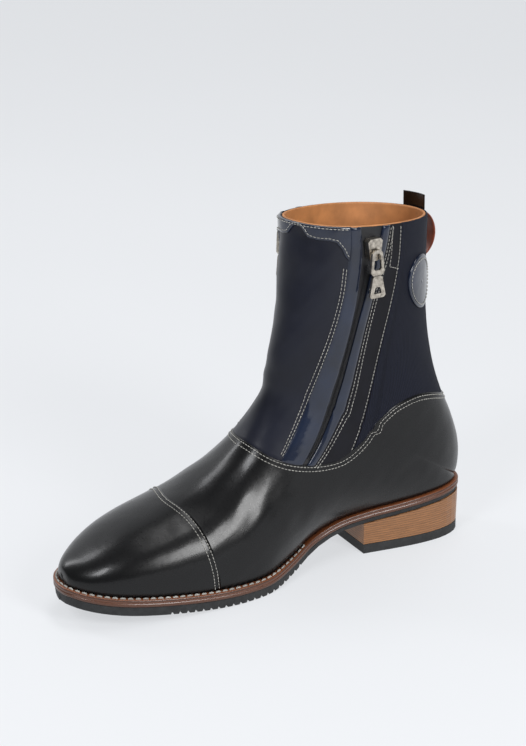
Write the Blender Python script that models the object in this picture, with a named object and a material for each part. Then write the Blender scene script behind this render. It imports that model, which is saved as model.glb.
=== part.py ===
"""Right paddock boot: a zip-sided leather ankle boot on a stacked heel.

Sizes are in millimetres until place() turns them into metres. A point is (x, s, z):
x towards the inner (medial) side, s forward from the back of the heel, z up from the floor.
In the scene the toe points along -Y, the inner side is +X, and the origin lies on the
floor under the middle of the heel.
"""
import bpy
import bmesh
import numpy as np
from mathutils import Matrix, Vector

MM = 0.001
HEEL_MIDDLE = 38.0      # s of the origin
GAP = 0.3               # clearance between pieces that meet
ROW_MM, GIRTH_MM = 9.0, 290.0   # about the distance between sections, and the whole girth

# The last, one row for each section of the upper, from the toe's tip to the collar.
# A section is a slanted plane from a back point (back_s, back_z) to a top point (top_s, top_z).
# foot_*: half width at the back point, full_*: greatest half width, full_at: where it lies,
# under: how steeply the lower side leaves the back point, 1 flat and 2 upright,
# round: exponent of the upper arch, ridge: x of the top.
COLUMNS = ("back_s", "back_z", "top_s", "top_z", "foot_med", "foot_lat",
           "full_med", "full_lat", "full_at", "under", "round", "ridge")
SECTIONS = np.array((
    (275.4, 24.3, 275.4, 29.5, 7.5, -3.5, 8.0, -3.0, .40, 2.0, 2.00, 5.5),
    (274.2, 24.0, 273.6, 33.0, 14.0, 2.0, 14.8, 2.6, .36, 2.0, 2.00, 5.5),
    (271.0, 23.3, 269.0, 36.6, 19.6, 8.4, 20.8, 9.4, .33, 2.0, 2.10, 5.0),
    (265.2, 22.1, 261.6, 40.4, 25.4, 15.8, 27.0, 17.2, .31, 2.0, 2.15, 4.5),
    (256.8, 20.5, 252.4, 44.6, 30.6, 23.4, 32.4, 25.0, .30, 2.0, 2.20, 4.0),
    (245.6, 18.6, 241.4, 49.0, 34.8, 30.4, 36.6, 32.4, .30, 2.0, 2.20, 3.5),
    (230.6, 16.4, 227.6, 53.4, 37.8, 37.0, 39.6, 39.2, .30, 2.0, 2.15, 3.0),
    (212.0, 14.1, 211.0, 57.8, 39.9, 42.3, 41.6, 44.6, .31, 2.0, 2.10, 3.0),
    (192.0, 12.0, 194.0, 63.4, 40.8, 45.8, 42.6, 48.4, .32, 2.0, 2.00, 3.0),
    (172.0, 11.0, 178.5, 71.8, 40.4, 46.0, 42.2, 48.6, .33, 2.0, 1.95, 3.0),
    (152.0, 11.2, 166.0, 80.4, 37.0, 43.6, 40.2, 46.8, .36, 2.0, 1.90, 3.5),
    (132.0, 14.2, 157.5, 88.4, 27.5, 38.5, 37.0, 43.8, .40, 2.0, 1.90, 3.5),
    (112.0, 20.2, 152.5, 95.0, 18.5, 33.5, 34.6, 41.0, .43, 2.0, 1.90, 3.5),
    (92.0, 26.2, 148.8, 101.2, 16.8, 29.8, 33.2, 38.6, .45, 2.0, 1.90, 3.0),
    (72.0, 29.6, 145.8, 107.0, 19.0, 27.4, 32.4, 36.8, .46, 2.0, 1.90, 2.5),
    (52.0, 31.6, 143.4, 112.5, 21.8, 26.8, 31.8, 35.4, .46, 2.0, 1.90, 2.0),
    (33.0, 33.5, 141.2, 118.0, 23.4, 26.4, 31.4, 34.4, .46, 1.9, 1.90, 1.5),
    (15.0, 35.2, 139.6, 123.5, 21.6, 23.0, 31.4, 33.6, .46, 1.7, 1.90, 1.0),
    (2.5, 36.6, 139.2, 128.5, 14.2, 14.4, 31.4, 33.0, .45, 1.5, 1.95, 0.5),
    (-2.0, 37.2, 138.8, 133.0, 0.0, 0.0, 31.6, 33.8, .45, .80, 2.00, 0.0),
    (-4.6, 47.5, 138.2, 139.0, 0.0, 0.0, 31.8, 33.6, .45, .84, 2.00, 0.0),
    (-4.0, 62.0, 137.0, 147.5, 0.0, 0.0, 31.8, 33.4, .46, .88, 2.05, 0.0),
    (0.6, 79.0, 135.0, 158.0, 0.0, 0.0, 31.8, 33.2, .47, .92, 2.10, 0.0),
    (7.2, 97.0, 132.4, 169.5, 0.0, 0.0, 32.0, 33.6, .48, .96, 2.15, 0.0),
    (11.8, 116.0, 129.8, 182.0, 0.0, 0.0, 32.4, 34.0, .49, 1.0, 2.20, 0.0),
    (14.2, 137.0, 127.4, 194.0, 0.0, 0.0, 33.0, 34.6, .50, 1.0, 2.30, 0.0),
    (14.6, 160.0, 125.4, 206.0, 0.0, 0.0, 33.8, 34.2, .50, 1.0, 2.35, 0.0),
    (14.0, 184.0, 123.0, 217.0, 0.0, 0.0, 34.6, 35.0, .50, 1.0, 2.40, 0.0),
    (13.4, 214.0, 122.4, 226.0, 0.0, 0.0, 35.2, 35.6, .50, 1.0, 2.40, 0.0),
))
COLLAR = len(SECTIONS) - 1      # row of the collar
HEEL_SEAT = 19                  # row whose back point closes the feather line behind the heel
TURN = 20.0                     # degrees that the shaft faces inwards of the foot at the collar
TURN_FROM, TURN_TO = 60.0, 190.0    # heights between which it turns
SHAFT_AXIS = 68.0               # s of the shaft's upright axis

# Lines on the upper, as (row of the section, share of its girth from the inner edge).
# The top edge of the foot leather, from the back seam to the front.
SEAM = np.array((
    (22.9, .000), (22.6, .090), (21.8, .183), (20.9, .239), (19.6, .268), (17.6, .262),
    (16.0, .248), (14.8, .250), (13.85, .277), (13.1, .319), (12.3, .365), (11.8, .411),
    (11.55, .457), (11.45, .500),
))
# The toe cap's edge, from the sole to the ridge.
CAP_EDGE = np.array((
    (8.25, 0.), (8.20, .08), (8.11, .15), (8.01, .22), (7.89, .285), (7.76, .350), (7.62, .410),
    (7.53, .460), (7.50, .5),
))
# Edges on the shaft's inner side: front panel | patent facing | zip | rear strip | elastic.
LINE_COLUMNS = ("row", "panel", "zip_front", "zip_rear", "elastic")
SHAFT_LINES = np.array((
    (12.0, .345, .284, .264, .190),
    (14.0, .378, .316, .300, .224),
    (16.0, .403, .353, .338, .257),
    (18.0, .416, .379, .364, .296),
    (20.0, .416, .384, .369, .305),
    (22.0, .405, .373, .358, .289),
    (24.0, .392, .359, .344, .269),
    (26.0, .384, .356, .327, .250),
    (28.0, .384, .362, .304, .246),
))
SEAM_CORNERS = 22           # corners along the seam on each side
COLLAR_DEPTH = np.array(((.500, 1.2), (.488, 3.2), (.474, 7.6), (.455, 8.6), (.430, 8.6),
                         (.415, 9.4), (.402, 13.5), (.395, 17.0), (.384, 20.0)))

EDGE_CROWDING = .5
SKIN = (-0.8, 0.0)          # inner and outer face of the leather pieces, from the last's surface
WALL = (-3.1, -1.7)         # inner and outer face of the upper's lining wall
CAP_RAISE = 0.5
PATENT_RAISE = 0.3
ELASTIC_SINK = -0.3
ZIP_TAPE = (-0.8, -0.4)
ZIP_COIL_HEIGHT = 0.7
ZIP_COIL_HALF = 1.3
ZIP_TOP_ROW = 26.4          # the zip is closed up to here, and its slider sits above

# The sole, from the feather line down.
WELT = 4.7
RUBBER_FRONT, RUBBER_WAIST = 5.7, 2.7
LIFT = 6.2
BREAST = 75.0               # s of the heel's front face
LEDGE_FRONT, LEDGE_HEEL = 3.6, 2.4
TREAD_FROM, TREAD_TO = 122.5, 222.5
TOOTH = 5.0
TOOTH_DEPTH = 2.0
INSOLE = 2.6

SLIDER_ROW, SLIDER_SHARE = 27.1, .336
SLIDER_SIZE = (10.5, 13.5, 4.4)      # across, along, thick
LINK_LENGTH, LINK_WIDTH, LINK_WIRE = 15.5, 9.8, 1.6
TAB_LENGTH, TAB_TOP, TAB_BOTTOM = 13.5, 7.0, 11.4
LOOP_WIDTH, LOOP_HEIGHT, LOOP_OUT, LOOP_THICK = 14.0, 28.0, 11.5, 1.8
TAB_SHARE = .010            # the back tab's middle, a little inwards
PATCH_ROW, PATCH_SHARE = 26.25, .150
PATCH_RADIUS = 16.5

PALETTE = {     # colour (linear), roughness, metallic
    "calf": ((0.012, 0.012, 0.013), .32, 0.),
    "panel": ((0.012, 0.013, 0.024), .6, 0.),
    "patent": ((0.012, 0.022, 0.058), .12, 0.),
    "strip": ((0.030, 0.028, 0.042), .6, 0.),
    "elastic": ((0.010, 0.014, 0.030), .8, 0.),
    "lining": ((0.42, 0.20, 0.08), .6, 0.),
    "zip_tape": ((0.01, 0.01, 0.012), .8, 0.),
    "nickel": ((0.48, 0.45, 0.40), .3, 1.),
    "loop": ((0.19, 0.065, 0.035), .55, 0.),
    "welt": ((0.20, 0.085, 0.035), .5, 0.),
    "rubber": ((0.028, 0.029, 0.031), .8, 0.),
    "stack": ((0.38, 0.20, 0.08), .5, 0.),
}


def clear_scene():
    for item in list(bpy.data.objects):
        bpy.data.objects.remove(item, do_unlink=True)


def finish(name):
    """The Principled material of one palette entry."""
    if name in bpy.data.materials:
        return bpy.data.materials[name]
    colour, roughness, metallic = PALETTE[name]
    material = bpy.data.materials.new(name)
    material.use_nodes = True
    shader = material.node_tree.nodes["Principled BSDF"]
    shader.inputs["Base Color"].default_value = (*colour, 1.0)
    shader.inputs["Roughness"].default_value = roughness
    shader.inputs["Metallic"].default_value = metallic
    return material


def place(point):
    x, s, z = point
    return Vector((x*MM, (HEEL_MIDDLE - s)*MM, z*MM))


def add_object(name, mesh_data, material, location=Vector()):
    """Object from a bmesh in metres, with its origin moved to location."""
    bmesh.ops.triangulate(mesh_data, faces=mesh_data.faces)
    bmesh.ops.recalc_face_normals(mesh_data, faces=mesh_data.faces)
    bmesh.ops.translate(mesh_data, verts=mesh_data.verts, vec=-location)
    mesh = bpy.data.meshes.new(name)
    mesh_data.to_mesh(mesh)
    mesh_data.free()
    mesh.materials.append(finish(material))
    mesh.shade_smooth()
    mesh.set_sharp_from_angle(angle=np.radians(35))
    item = bpy.data.objects.new(name, mesh)
    item.location = location
    bpy.context.collection.objects.link(item)
    return item


def solid(name, points, faces, material):
    """Closed solid from points in mm and faces as index tuples."""
    bm = bmesh.new()
    verts = [bm.verts.new(place(p)) for p in points]
    for face in faces:
        bm.faces.new([verts[i] for i in face])
    return add_object(name, bm, material)


def smooth_rows(rows, at):
    """Catmull-Rom reading of a table at a real-valued row number."""
    at = min(max(at, 0.0), len(rows) - 1.0)
    i = min(int(at), len(rows) - 2)
    t = at - i
    p0, p1, p2, p3 = (rows[min(max(i + k, 0), len(rows) - 1)] for k in (-1, 0, 1, 2))
    return p1 + t*((p2 - p0)/2 + t*(p0 - 2.5*p1 + 2*p2 - p3/2 + t*(1.5*(p1 - p2) + (p3 - p0)/2)))


def ease(low, high, value):
    t = np.clip((value - low)/(high - low), 0, 1)
    return t*t*(3 - 2*t)


def turned(points):
    """The shaft's turn about its own upright axis, growing with height."""
    angle = np.radians(TURN)*ease(TURN_FROM, TURN_TO, points[:, 2])
    x, s = points[:, 0], points[:, 1] - SHAFT_AXIS
    return np.stack([x*np.cos(angle) + s*np.sin(angle),
                     SHAFT_AXIS + s*np.cos(angle) - x*np.sin(angle), points[:, 2]], -1)


SIDE_STEPS = 24
section_cache = {}


def section_sides(row):
    """Both sides of a section as dense points from its lower edge to the ridge, with run shares."""
    key = round(row, 4)
    if key in section_cache:
        return section_cache[key]
    c = dict(zip(COLUMNS, smooth_rows(SECTIONS, row)))
    turn = np.linspace(0, np.pi/2, SIDE_STEPS)
    arch = turn[1:]
    sides = []
    for sign, foot, full in ((1, c["foot_med"], c["full_med"]), (-1, c["foot_lat"], c["full_lat"])):
        top = sign*c["ridge"]
        power = 2/c["round"]
        x = np.r_[foot + (full - foot)*np.sin(turn)**c["under"], top + (full - top)*np.abs(np.cos(arch))**power]
        q = np.r_[c["full_at"]*(1 - np.cos(turn)), c["full_at"] + (1 - c["full_at"])*np.sin(arch)**power]
        points = turned(np.stack([sign*x, c["back_s"] + q*(c["top_s"] - c["back_s"]),
                                  c["back_z"] + q*(c["top_z"] - c["back_z"])], -1))
        run = np.r_[0, np.cumsum(np.linalg.norm(np.diff(points, axis=0), axis=1))]
        sides.append((points, run/run[-1]))
    section_cache[key] = sides
    return sides


def on_last(row, share):
    """Point of the last's surface. Share 0 is the inner edge, 0.5 the ridge, 1 the outer edge."""
    if row > HEEL_SEAT or share < 0:
        share = share % 1.0
    points, run = section_sides(row)[0 if share <= .5 else 1]
    k = 2*share if share <= .5 else 2 - 2*share
    return np.array([np.interp(k, run, points[:, i]) for i in range(3)])


FEATHER = np.array([smooth_rows(SECTIONS[:HEEL_SEAT + 1, :2], r) for r in np.linspace(HEEL_SEAT, 0, 400)])


def feather_height(s):
    """Height of the feather line, where the upper meets the welt."""
    return np.interp(s, FEATHER[:, 0], FEATHER[:, 1])


def surface(row, share, offset=0.0):
    """Point on the surface, moved out along the surface normal."""
    du, dv = .04, .004
    share = share % 1.0 if share < 0 else share
    low, high = (share - dv, share + dv)
    if row <= HEEL_SEAT:
        low, high = max(low, 0.0), min(high, 1.0)
    along = on_last(min(row + du, COLLAR), share) - on_last(max(row - du, 0.0), share)
    around = on_last(row, high) - on_last(row, low)
    normal = np.cross(around, along)
    if row < HEEL_SEAT:
        normal[2] = max(normal[2], -.3*np.hypot(*normal[:2]))
    point = on_last(row, share) + normal/max(np.linalg.norm(normal), 1e-9)*offset
    if row <= HEEL_SEAT + 1:
        floor = feather_height(point[1])
        point[2] = floor if row < HEEL_SEAT and share in (0, 1) else max(point[2], floor)
    return point


def line_at(name, row):
    """Share of the girth at which a shaft line crosses a row, on the inner side."""
    at = (row - SHAFT_LINES[0, 0])/(SHAFT_LINES[1, 0] - SHAFT_LINES[0, 0])
    return float(smooth_rows(SHAFT_LINES[:, LINE_COLUMNS.index(name)], at))


def line_function(name):
    return lambda row: line_at(name, row)


def seam_loop():
    """The foot leather's top edge all round, share growing from -0.5 by the back to 1.0."""
    fine = np.array([smooth_rows(SEAM, k) for k in np.linspace(0, len(SEAM) - 1, 400)])
    step = np.linalg.norm(np.diff(fine, axis=0)*(ROW_MM, GIRTH_MM), axis=1)
    run = np.r_[0, np.cumsum(step)]
    even = run[-1]*2*spread(2*SEAM_CORNERS - 1)[:SEAM_CORNERS]
    half = [(np.interp(d, run, fine[:, 0]), np.interp(d, run, fine[:, 1])) for d in even]
    lateral_back = [(r, -v) for r, v in half[:0:-1]]
    lateral_front = [(r, 1 - v) for r, v in half[-2::-1]]
    return [tuple(p) for p in lateral_back + half + lateral_front]


def seam_between(left, right):
    """Corner points of the seam between two shaft lines, share(row), with both crossings."""
    loop = seam_loop()
    found = []
    for (r0, v0), (r1, v1) in zip(loop[:-1], loop[1:]):
        if left(r0) <= v0 <= right(r0):
            found.append((r0, v0))
        for line in (left, right):
            d0, d1 = v0 - line(r0), v1 - line(r1)
            if d0*d1 < 0:
                k = d0/(d0 - d1)
                row = r0 + k*(r1 - r0)
                found.append((row, line(row)))
    return found


def spread(count):
    """Shares of the girth, closer together at the ridge and at the lower edges."""
    w = np.linspace(0, 1, count)
    return w - EDGE_CROWDING*np.sin(4*np.pi*w)/(4*np.pi)


def grid_faces(rows, columns, first=0, flip=False):
    faces = []
    for i in range(rows - 1):
        for j in range(columns - 1):
            a = first + i*columns + j
            quad = (a, a + 1, a + columns + 1, a + columns)
            faces.append(quad[::-1] if flip else quad)
    return faces


def slab(name, outer, inner, material, nose=False):
    """Closed solid between two grids of points. A nose closes each grid's first row by itself."""
    rows, columns = outer.shape[:2]
    half = rows*columns
    faces = grid_faces(rows, columns) + grid_faces(rows, columns, half, flip=True)
    index = np.arange(half).reshape(rows, columns)
    edges = [(index[:, 0], 1), (index[:, -1], -1), (index[-1], 1)]
    if nose:
        faces += [tuple(index[0]), tuple(index[0] + half)[::-1]]
        a, b = index[0, 0], index[0, -1]
        faces.append((a, b, b + half, a + half))
    else:
        edges.append((index[0], -1))
    for edge, _ in edges:
        faces += [(a, b, b + half, a + half) for a, b in zip(edge[:-1], edge[1:])]
    return solid(name, np.concatenate([outer.reshape(-1, 3), inner.reshape(-1, 3)]), faces, material)


def skin(name, paths, material, faces=SKIN, nose=False):
    """Leather piece: paths is a grid of (row, share); faces gives its inner and outer offset."""
    sheets = [np.array([[surface(r, v, offset) for r, v in line] for line in paths]) for offset in faces]
    return slab(name, sheets[1], sheets[0], material, nose)


def mirrored(share, side):
    return share if side == "medial" else 1.0 - share


# Upper

def build_upper():
    """One hollow wall: lining and backing, open at the collar and underneath."""
    rows = np.r_[0, .5, 1:16, 16:20:.5, 20:COLLAR + 1].tolist()
    columns = 29
    shares = spread(columns)
    sheets = []
    for offset in WALL:
        sheet = np.array([[surface(r, v, offset) for v in shares] for r in rows])
        sheets.append(sheet)
    inner, outer = sheets
    half = len(rows)*columns
    seat = rows.index(HEEL_SEAT)
    bm = bmesh.new()
    verts = []
    for sheet in (outer, inner):
        for i in range(len(rows)):
            line = [bm.verts.new(place(p)) for p in sheet[i, :-1]]
            line.append(line[0] if i >= seat else bm.verts.new(place(sheet[i, -1])))
            verts += line
    index = np.arange(half).reshape(len(rows), columns)
    faces = grid_faces(len(rows), columns) + grid_faces(len(rows), columns, half, flip=True)
    faces += [tuple(index[0]), tuple(index[0] + half)[::-1]]
    faces.append((index[0, 0], index[0, -1], index[0, -1] + half, index[0, 0] + half))
    for edge in (index[:seat + 1, 0], index[:seat + 1, -1], index[-1]):
        faces += [(a, b, b + half, a + half) for a, b in zip(edge[:-1], edge[1:])]
    for face in faces:
        bm.faces.new([verts[i] for i in face])
    add_object("upper", bm, "lining")


def build_foot_leather():
    """Vamp with quarters, from the toe cap's edge to the shaft seam, closed by a back seam."""
    back_gap = .0009
    points = [p for p in seam_loop() if -.001 < p[1] <= .501]
    half = len(points) - 1
    along_edge = np.r_[8.45, 9.2, 10:17, 17:20:.5, 20.5, 21.6, 22.7]
    steps = (along_edge - along_edge[0])/(along_edge[-1] - along_edge[0])
    columns = []
    for j in range(-half, half + 1):
        k = half - abs(j)
        row, share = points[k]
        before, after = points[max(k - 1, 0)], points[min(k + 1, half)]
        along = np.array([(after[0] - before[0])*ROW_MM, (after[1] - before[1])*GIRTH_MM])
        down = np.array([-along[1], along[0]])/np.linalg.norm(along)*4.6*GAP
        row += down[0]/ROW_MM
        share += down[1]/GIRTH_MM if 0 < k < half else 0
        along_sole = spread(2*half + 1)[k]*2
        start = max(.5*along_sole**1.25, back_gap)
        share = max(share, back_gap)
        first = np.interp(start, CAP_EDGE[:, 1], CAP_EDGE[:, 0]) + .02
        if j > 0:
            start, share = 1 - start, 1 - share
        columns.append([(first + (row - first)*t, start + (share - start)*t*t) for t in steps])
    paths = list(map(list, zip(*columns)))
    skin("foot_leather", paths, "calf")


def build_toe_cap():
    shares = spread(23)
    steps = np.array([0, .08, .17, .28, .41, .55, .7, .86, 1])
    edge = np.interp(np.minimum(shares, 1 - shares), CAP_EDGE[:, 1], CAP_EDGE[:, 0]) - .02
    paths = [[(e*t, v) for e, v in zip(edge, shares)] for t in steps]
    skin("toe_cap", paths, "calf", (SKIN[0], CAP_RAISE), nose=True)


# Shaft

def shaft_panel(name, left, right, material, faces=SKIN, inset=(0, 0), rows=11):
    """Panel between two lines share(row), from the foot leather's edge up to the collar.

    inset is how far, in mm, each side edge stays back from its line.
    """
    corners = seam_between(left, right)
    inset = np.array(inset)/GIRTH_MM
    lines = []
    for k, (bottom, share) in zip(np.linspace(0, 1, len(corners)), corners):
        start = (share - left(bottom))/(right(bottom) - left(bottom))
        line = []
        for t in np.linspace(0, 1, rows):
            row, mix = bottom + (COLLAR - bottom)*t, start + (k - start)*t
            line.append((row, (left(row) + inset[0])*(1 - mix) + (right(row) - inset[1])*mix))
        lines.append(line)
    skin(name, list(map(list, zip(*lines))), material, faces)


def collar_row(share):
    """Row of the scalloped lower edge of the collar piece."""
    depth = np.interp(-min(share, 1 - share), -COLLAR_DEPTH[:, 0], COLLAR_DEPTH[:, 1])
    top, low = on_last(COLLAR, share), on_last(COLLAR - 1.0, share)
    return COLLAR - depth/(top[2] - low[2])


def on_side(side, low, high):
    """The two lines of a panel of the inner side, swapped over for the outer side."""
    if side == "medial":
        return low, high
    return (lambda row: 1 - high(row)), (lambda row: 1 - low(row))


def build_shaft():
    panel, front, rear, back = map(line_function, LINE_COLUMNS[1:])
    shaft_panel("front_panel", panel, lambda row: 1 - panel(row), "panel", (SKIN[0], SKIN[1] - .1))
    shaft_panel("elastic", lambda row: -back(row), back, "elastic", (SKIN[0], ELASTIC_SINK))
    for side in ("medial", "lateral"):
        flip = slice(None, None, 1 if side == "medial" else -1)
        shaft_panel("facing_" + side, *on_side(side, front, panel), "patent",
                    (SKIN[0], PATENT_RAISE), (0, GAP)[flip])
        shaft_panel("rear_strip_" + side, *on_side(side, back, rear), "strip", SKIN, (GAP, GAP))
        shaft_panel("zip_" + side, *on_side(side, rear, front), "zip_tape", ZIP_TAPE, (0, GAP)[flip])
        build_coil(side)
    build_collar_piece()


def build_coil(side):
    """Row of closed zip teeth, a low ridge along the middle of the tape."""
    def middle(row):
        return (line_at("zip_front", row) + line_at("zip_rear", row))/2
    bottom = seam_between(line_function("zip_rear"), line_function("zip_front"))[0][0] + .5
    paths = []
    for row in np.linspace(bottom, ZIP_TOP_ROW, 13):
        paths.append([(row, mirrored(middle(row) + k*ZIP_COIL_HALF/GIRTH_MM, side)) for k in (-1, 0, 1)])
    low = ZIP_TAPE[1] + 1.7*GAP
    skin("zip_coil_" + side, paths, "zip_tape", (low, low + ZIP_COIL_HEIGHT))


def build_collar_piece():
    """Patent piece over the front panel's top, with a scalloped lower edge and a rolled rim."""
    shares = np.sort(np.r_[COLLAR_DEPTH[:, 0], 1 - COLLAR_DEPTH[:-1, 0][1:], .616])
    shares = np.unique(np.round(shares, 4))
    low = PATENT_RAISE + GAP
    paths = [[(collar_row(v)*(1 - t) + COLLAR*t, v) for v in shares] for t in (0, .5, 1)]
    skin("collar_piece", paths, "patent", (low, low + .8))


# Sole

def sole_outline(out):
    """Half widths of the feather line moved out, as arrays (s, inner x, outer x)."""
    rows = np.linspace(HEEL_SEAT, 0, 300)
    table = np.array([smooth_rows(SECTIONS, r) for r in rows])
    loop = np.concatenate([table[:, [4, 0]], (table[:, [5, 0]]*(-1, 1))[::-1]])
    step = np.roll(loop, -1, axis=0) - np.roll(loop, 1, axis=0)
    normal = np.stack([step[:, 1], -step[:, 0]], -1)
    normal /= np.maximum(np.linalg.norm(normal, axis=1), 1e-9)[:, None]
    loop = loop + normal*out(loop[:, 1])[:, None]
    tip, heel = np.argmax(loop[:, 1]), np.argmin(loop[:, 1])
    inner = loop[:tip + 1] if heel > tip else loop[heel:tip + 1]
    outer = loop[tip:][::-1] if heel <= tip else loop[tip:heel + 1][::-1]
    return inner, outer


def ledge(extra=0.0):
    return lambda s: extra + LEDGE_HEEL + (LEDGE_FRONT - LEDGE_HEEL)*ease(BREAST, 165.0, s)


def stations(low, high, count):
    """Places along the sole, closer together at the round ends."""
    angle = np.linspace(0, np.pi, count)
    return low + (high - low)*(1 - np.cos(angle))/2


def plate(name, places, out_top, out_bottom, top, bottom, material):
    """Layer of the sole between two heights given as functions of s."""
    loops = []
    for out, height in ((out_top, top), (out_bottom, bottom)):
        inner, outer = sole_outline(out)
        for side in (inner, outer):
            order = np.argsort(side[:, 1])
            x = np.interp(places, side[order, 1], side[order, 0])
            loops.append([(a, s, height(s)) for a, s in zip(x, places)])
    inner_top, outer_top, inner_low, outer_low = loops
    ring = np.stack([inner_top, outer_top, outer_low, inner_low], axis=1)
    count = len(places)
    faces = [(0, 1, 2, 3), tuple(4*(count - 1) + k for k in (3, 2, 1, 0))]
    for i in range(count - 1):
        for k in range(4):
            a, b = 4*i + k, 4*i + (k + 1) % 4
            faces.append((a, b, b + 4, a + 4))
    return solid(name, ring.reshape(-1, 3), faces, material)


def sole_range(out, narrowest=1.5):
    """Where along s an outline is wider than the narrowest width allowed."""
    inner, outer = (side[np.argsort(side[:, 1])] for side in sole_outline(out))
    s = np.linspace(inner[0, 1], inner[-1, 1], 2000)
    wide = s[np.interp(s, inner[:, 1], inner[:, 0]) - np.interp(s, outer[:, 1], outer[:, 0]) > narrowest]
    return wide[0], wide[-1]


def outsole_bottom(s):
    thickness = RUBBER_WAIST + (RUBBER_FRONT - RUBBER_WAIST)*ease(BREAST + 10, 150.0, s)
    return max(feather_height(s) - GAP - WELT - GAP - thickness, 0.0)


def tread_bottom(s):
    """The outsole's underside with saw teeth under the forefoot."""
    base = outsole_bottom(s)
    if not TREAD_FROM < s < TREAD_TO:
        return base
    phase = ((s - TREAD_FROM)/TOOTH) % 1.0
    return base + TOOTH_DEPTH*float(np.interp(phase, (0, .3, .5, .7, 1), (0, 0, 1, 0, 0)))


def heel_top(s):
    return feather_height(s) - GAP - WELT - GAP - RUBBER_WAIST - GAP


def build_sole():
    edge = ledge()
    low, high = sole_range(edge)
    ends = stations(low, high, 45)
    plate("welt", ends, edge, edge, lambda s: feather_height(s) - GAP,
          lambda s: feather_height(s) - GAP - WELT, "welt")
    rubber = ledge(-.5)
    low, high = sole_range(rubber)
    ends = stations(low, high, 45)
    teeth = [TREAD_FROM + TOOTH*(k + part) for k in range(int((TREAD_TO - TREAD_FROM)/TOOTH))
             for part in (0, .3, .5, .7)]
    smooth_part = ends[(ends < TREAD_FROM - 1) | (ends > TREAD_TO + 1)]
    places = np.sort(np.r_[smooth_part, teeth, TREAD_TO])
    plate("outsole", places, rubber, ledge(-1.0), lambda s: feather_height(s) - 2*GAP - WELT,
          tread_bottom, "rubber")
    heel, taper = ledge(-.3), ledge(-1.0)
    low = sole_range(taper)[0]
    places = low + (BREAST - low)*(1 - np.cos(np.linspace(0, np.pi/2, 15)))
    plate("heel_stack", places, heel, taper, heel_top, lambda s: LIFT + GAP, "stack")
    plate("top_lift", places, taper, taper, lambda s: LIFT, lambda s: 0.0, "rubber")
    inside = lambda s: np.full_like(s, WALL[0] - 1.3)
    low, high = sole_range(inside, 9.0)
    plate("insole", stations(low, high, 45), inside, inside,
          lambda s: feather_height(s) + INSOLE, feather_height, "lining")


# Trim and zip pulls

def frame_on(row, share, offset):
    """Matrix with X along the girth, Y up the boot and Z outwards, at a point of the surface."""
    origin = place(surface(row, share, offset))
    out = (place(surface(row, share, offset + 1)) - origin).normalized()
    up = Vector((0, 0, 1))
    across = up.cross(out).normalized()
    up = out.cross(across)
    return Matrix((across, up, out)).transposed().to_4x4(), origin


def prism(outline, low, high, holes=()):
    """Bmesh of a plate with straight sides, cut through by holes of as many points each."""
    bm = bmesh.new()
    loops = [outline, *holes]
    rings = [[[bm.verts.new((x*MM, y*MM, z*MM)) for x, y in loop] for z in (low, high)] for loop in loops]
    for bottom, top in rings:
        for i in range(len(bottom)):
            j = (i + 1) % len(bottom)
            bm.faces.new((bottom[i], bottom[j], top[j], top[i]))
    for level in (0, 1):
        if holes:
            a, b = rings[0][level], rings[1][level]
            for i in range(len(a)):
                j = (i + 1) % len(a)
                bm.faces.new((a[i], a[j], b[j], b[i]))
        else:
            bm.faces.new(rings[0][level])
    return bm


def round_corners(half_top, half_bottom, length, corner):
    """Outline of a hanging plate from y = 0 down to -length, with cut corners."""
    return [(-half_top + corner, 0), (half_top - corner, 0), (half_top, -corner),
            (half_bottom, -length + corner), (half_bottom - corner, -length),
            (-half_bottom + corner, -length), (-half_bottom, -length + corner), (-half_top, -corner)]


def build_zip_pull(side):
    """Slider, its link and the tab, hanging straight down on the rear edge of the shaft's front."""
    share = mirrored(SLIDER_SHARE, side)
    turn, origin = frame_on(SLIDER_ROW, share, 0)
    width, length, thick = SLIDER_SIZE
    body = prism([(x, y + length/2) for x, y in round_corners(width/2, width*.36, length, 1.6)], 0, thick)
    bmesh.ops.transform(body, matrix=turn, verts=body.verts)
    bmesh.ops.translate(body, vec=origin, verts=body.verts)
    add_object("slider_" + side, body, "nickel", origin)
    out = turn.to_3x3() @ Vector((0, 0, 1))
    flat = Vector((out.x, out.y, 0)).normalized()
    upright = Matrix((Vector((0, 0, 1)).cross(flat), Vector((0, 0, 1)), flat)).transposed().to_4x4()
    link_pivot = origin + flat*(thick + 1.6)*MM + Vector((0, 0, -1.0*MM))
    tab_pivot = link_pivot + Vector((0, 0, -(LINK_LENGTH - 2.0)*MM))
    link = prism([(x, y + 1.2) for x, y in round_corners(LINK_WIDTH*.38, LINK_WIDTH/2, LINK_LENGTH, 1.8)],
                 -LINK_WIRE/2, LINK_WIRE/2,
                 [[(x*.58, y*.66 - .9) for x, y in round_corners(LINK_WIDTH*.38, LINK_WIDTH/2, LINK_LENGTH, 1.8)]])
    tab = prism([(x, y - 1.2) for x, y in round_corners(TAB_TOP/2, TAB_BOTTOM/2, TAB_LENGTH, 1.2)],
                -LINK_WIRE/2, LINK_WIRE/2,
                [[(x*.5, y*.3 - 8.0) for x, y in round_corners(TAB_TOP/2, TAB_BOTTOM/2, TAB_LENGTH, 1.2)]])
    for name, piece, pivot in (("pull_link_", link, link_pivot), ("pull_tab_", tab, tab_pivot)):
        bmesh.ops.transform(piece, matrix=upright, verts=piece.verts)
        bmesh.ops.translate(piece, vec=pivot, verts=piece.verts)
        add_object(name + side, piece, "nickel", pivot)


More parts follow.
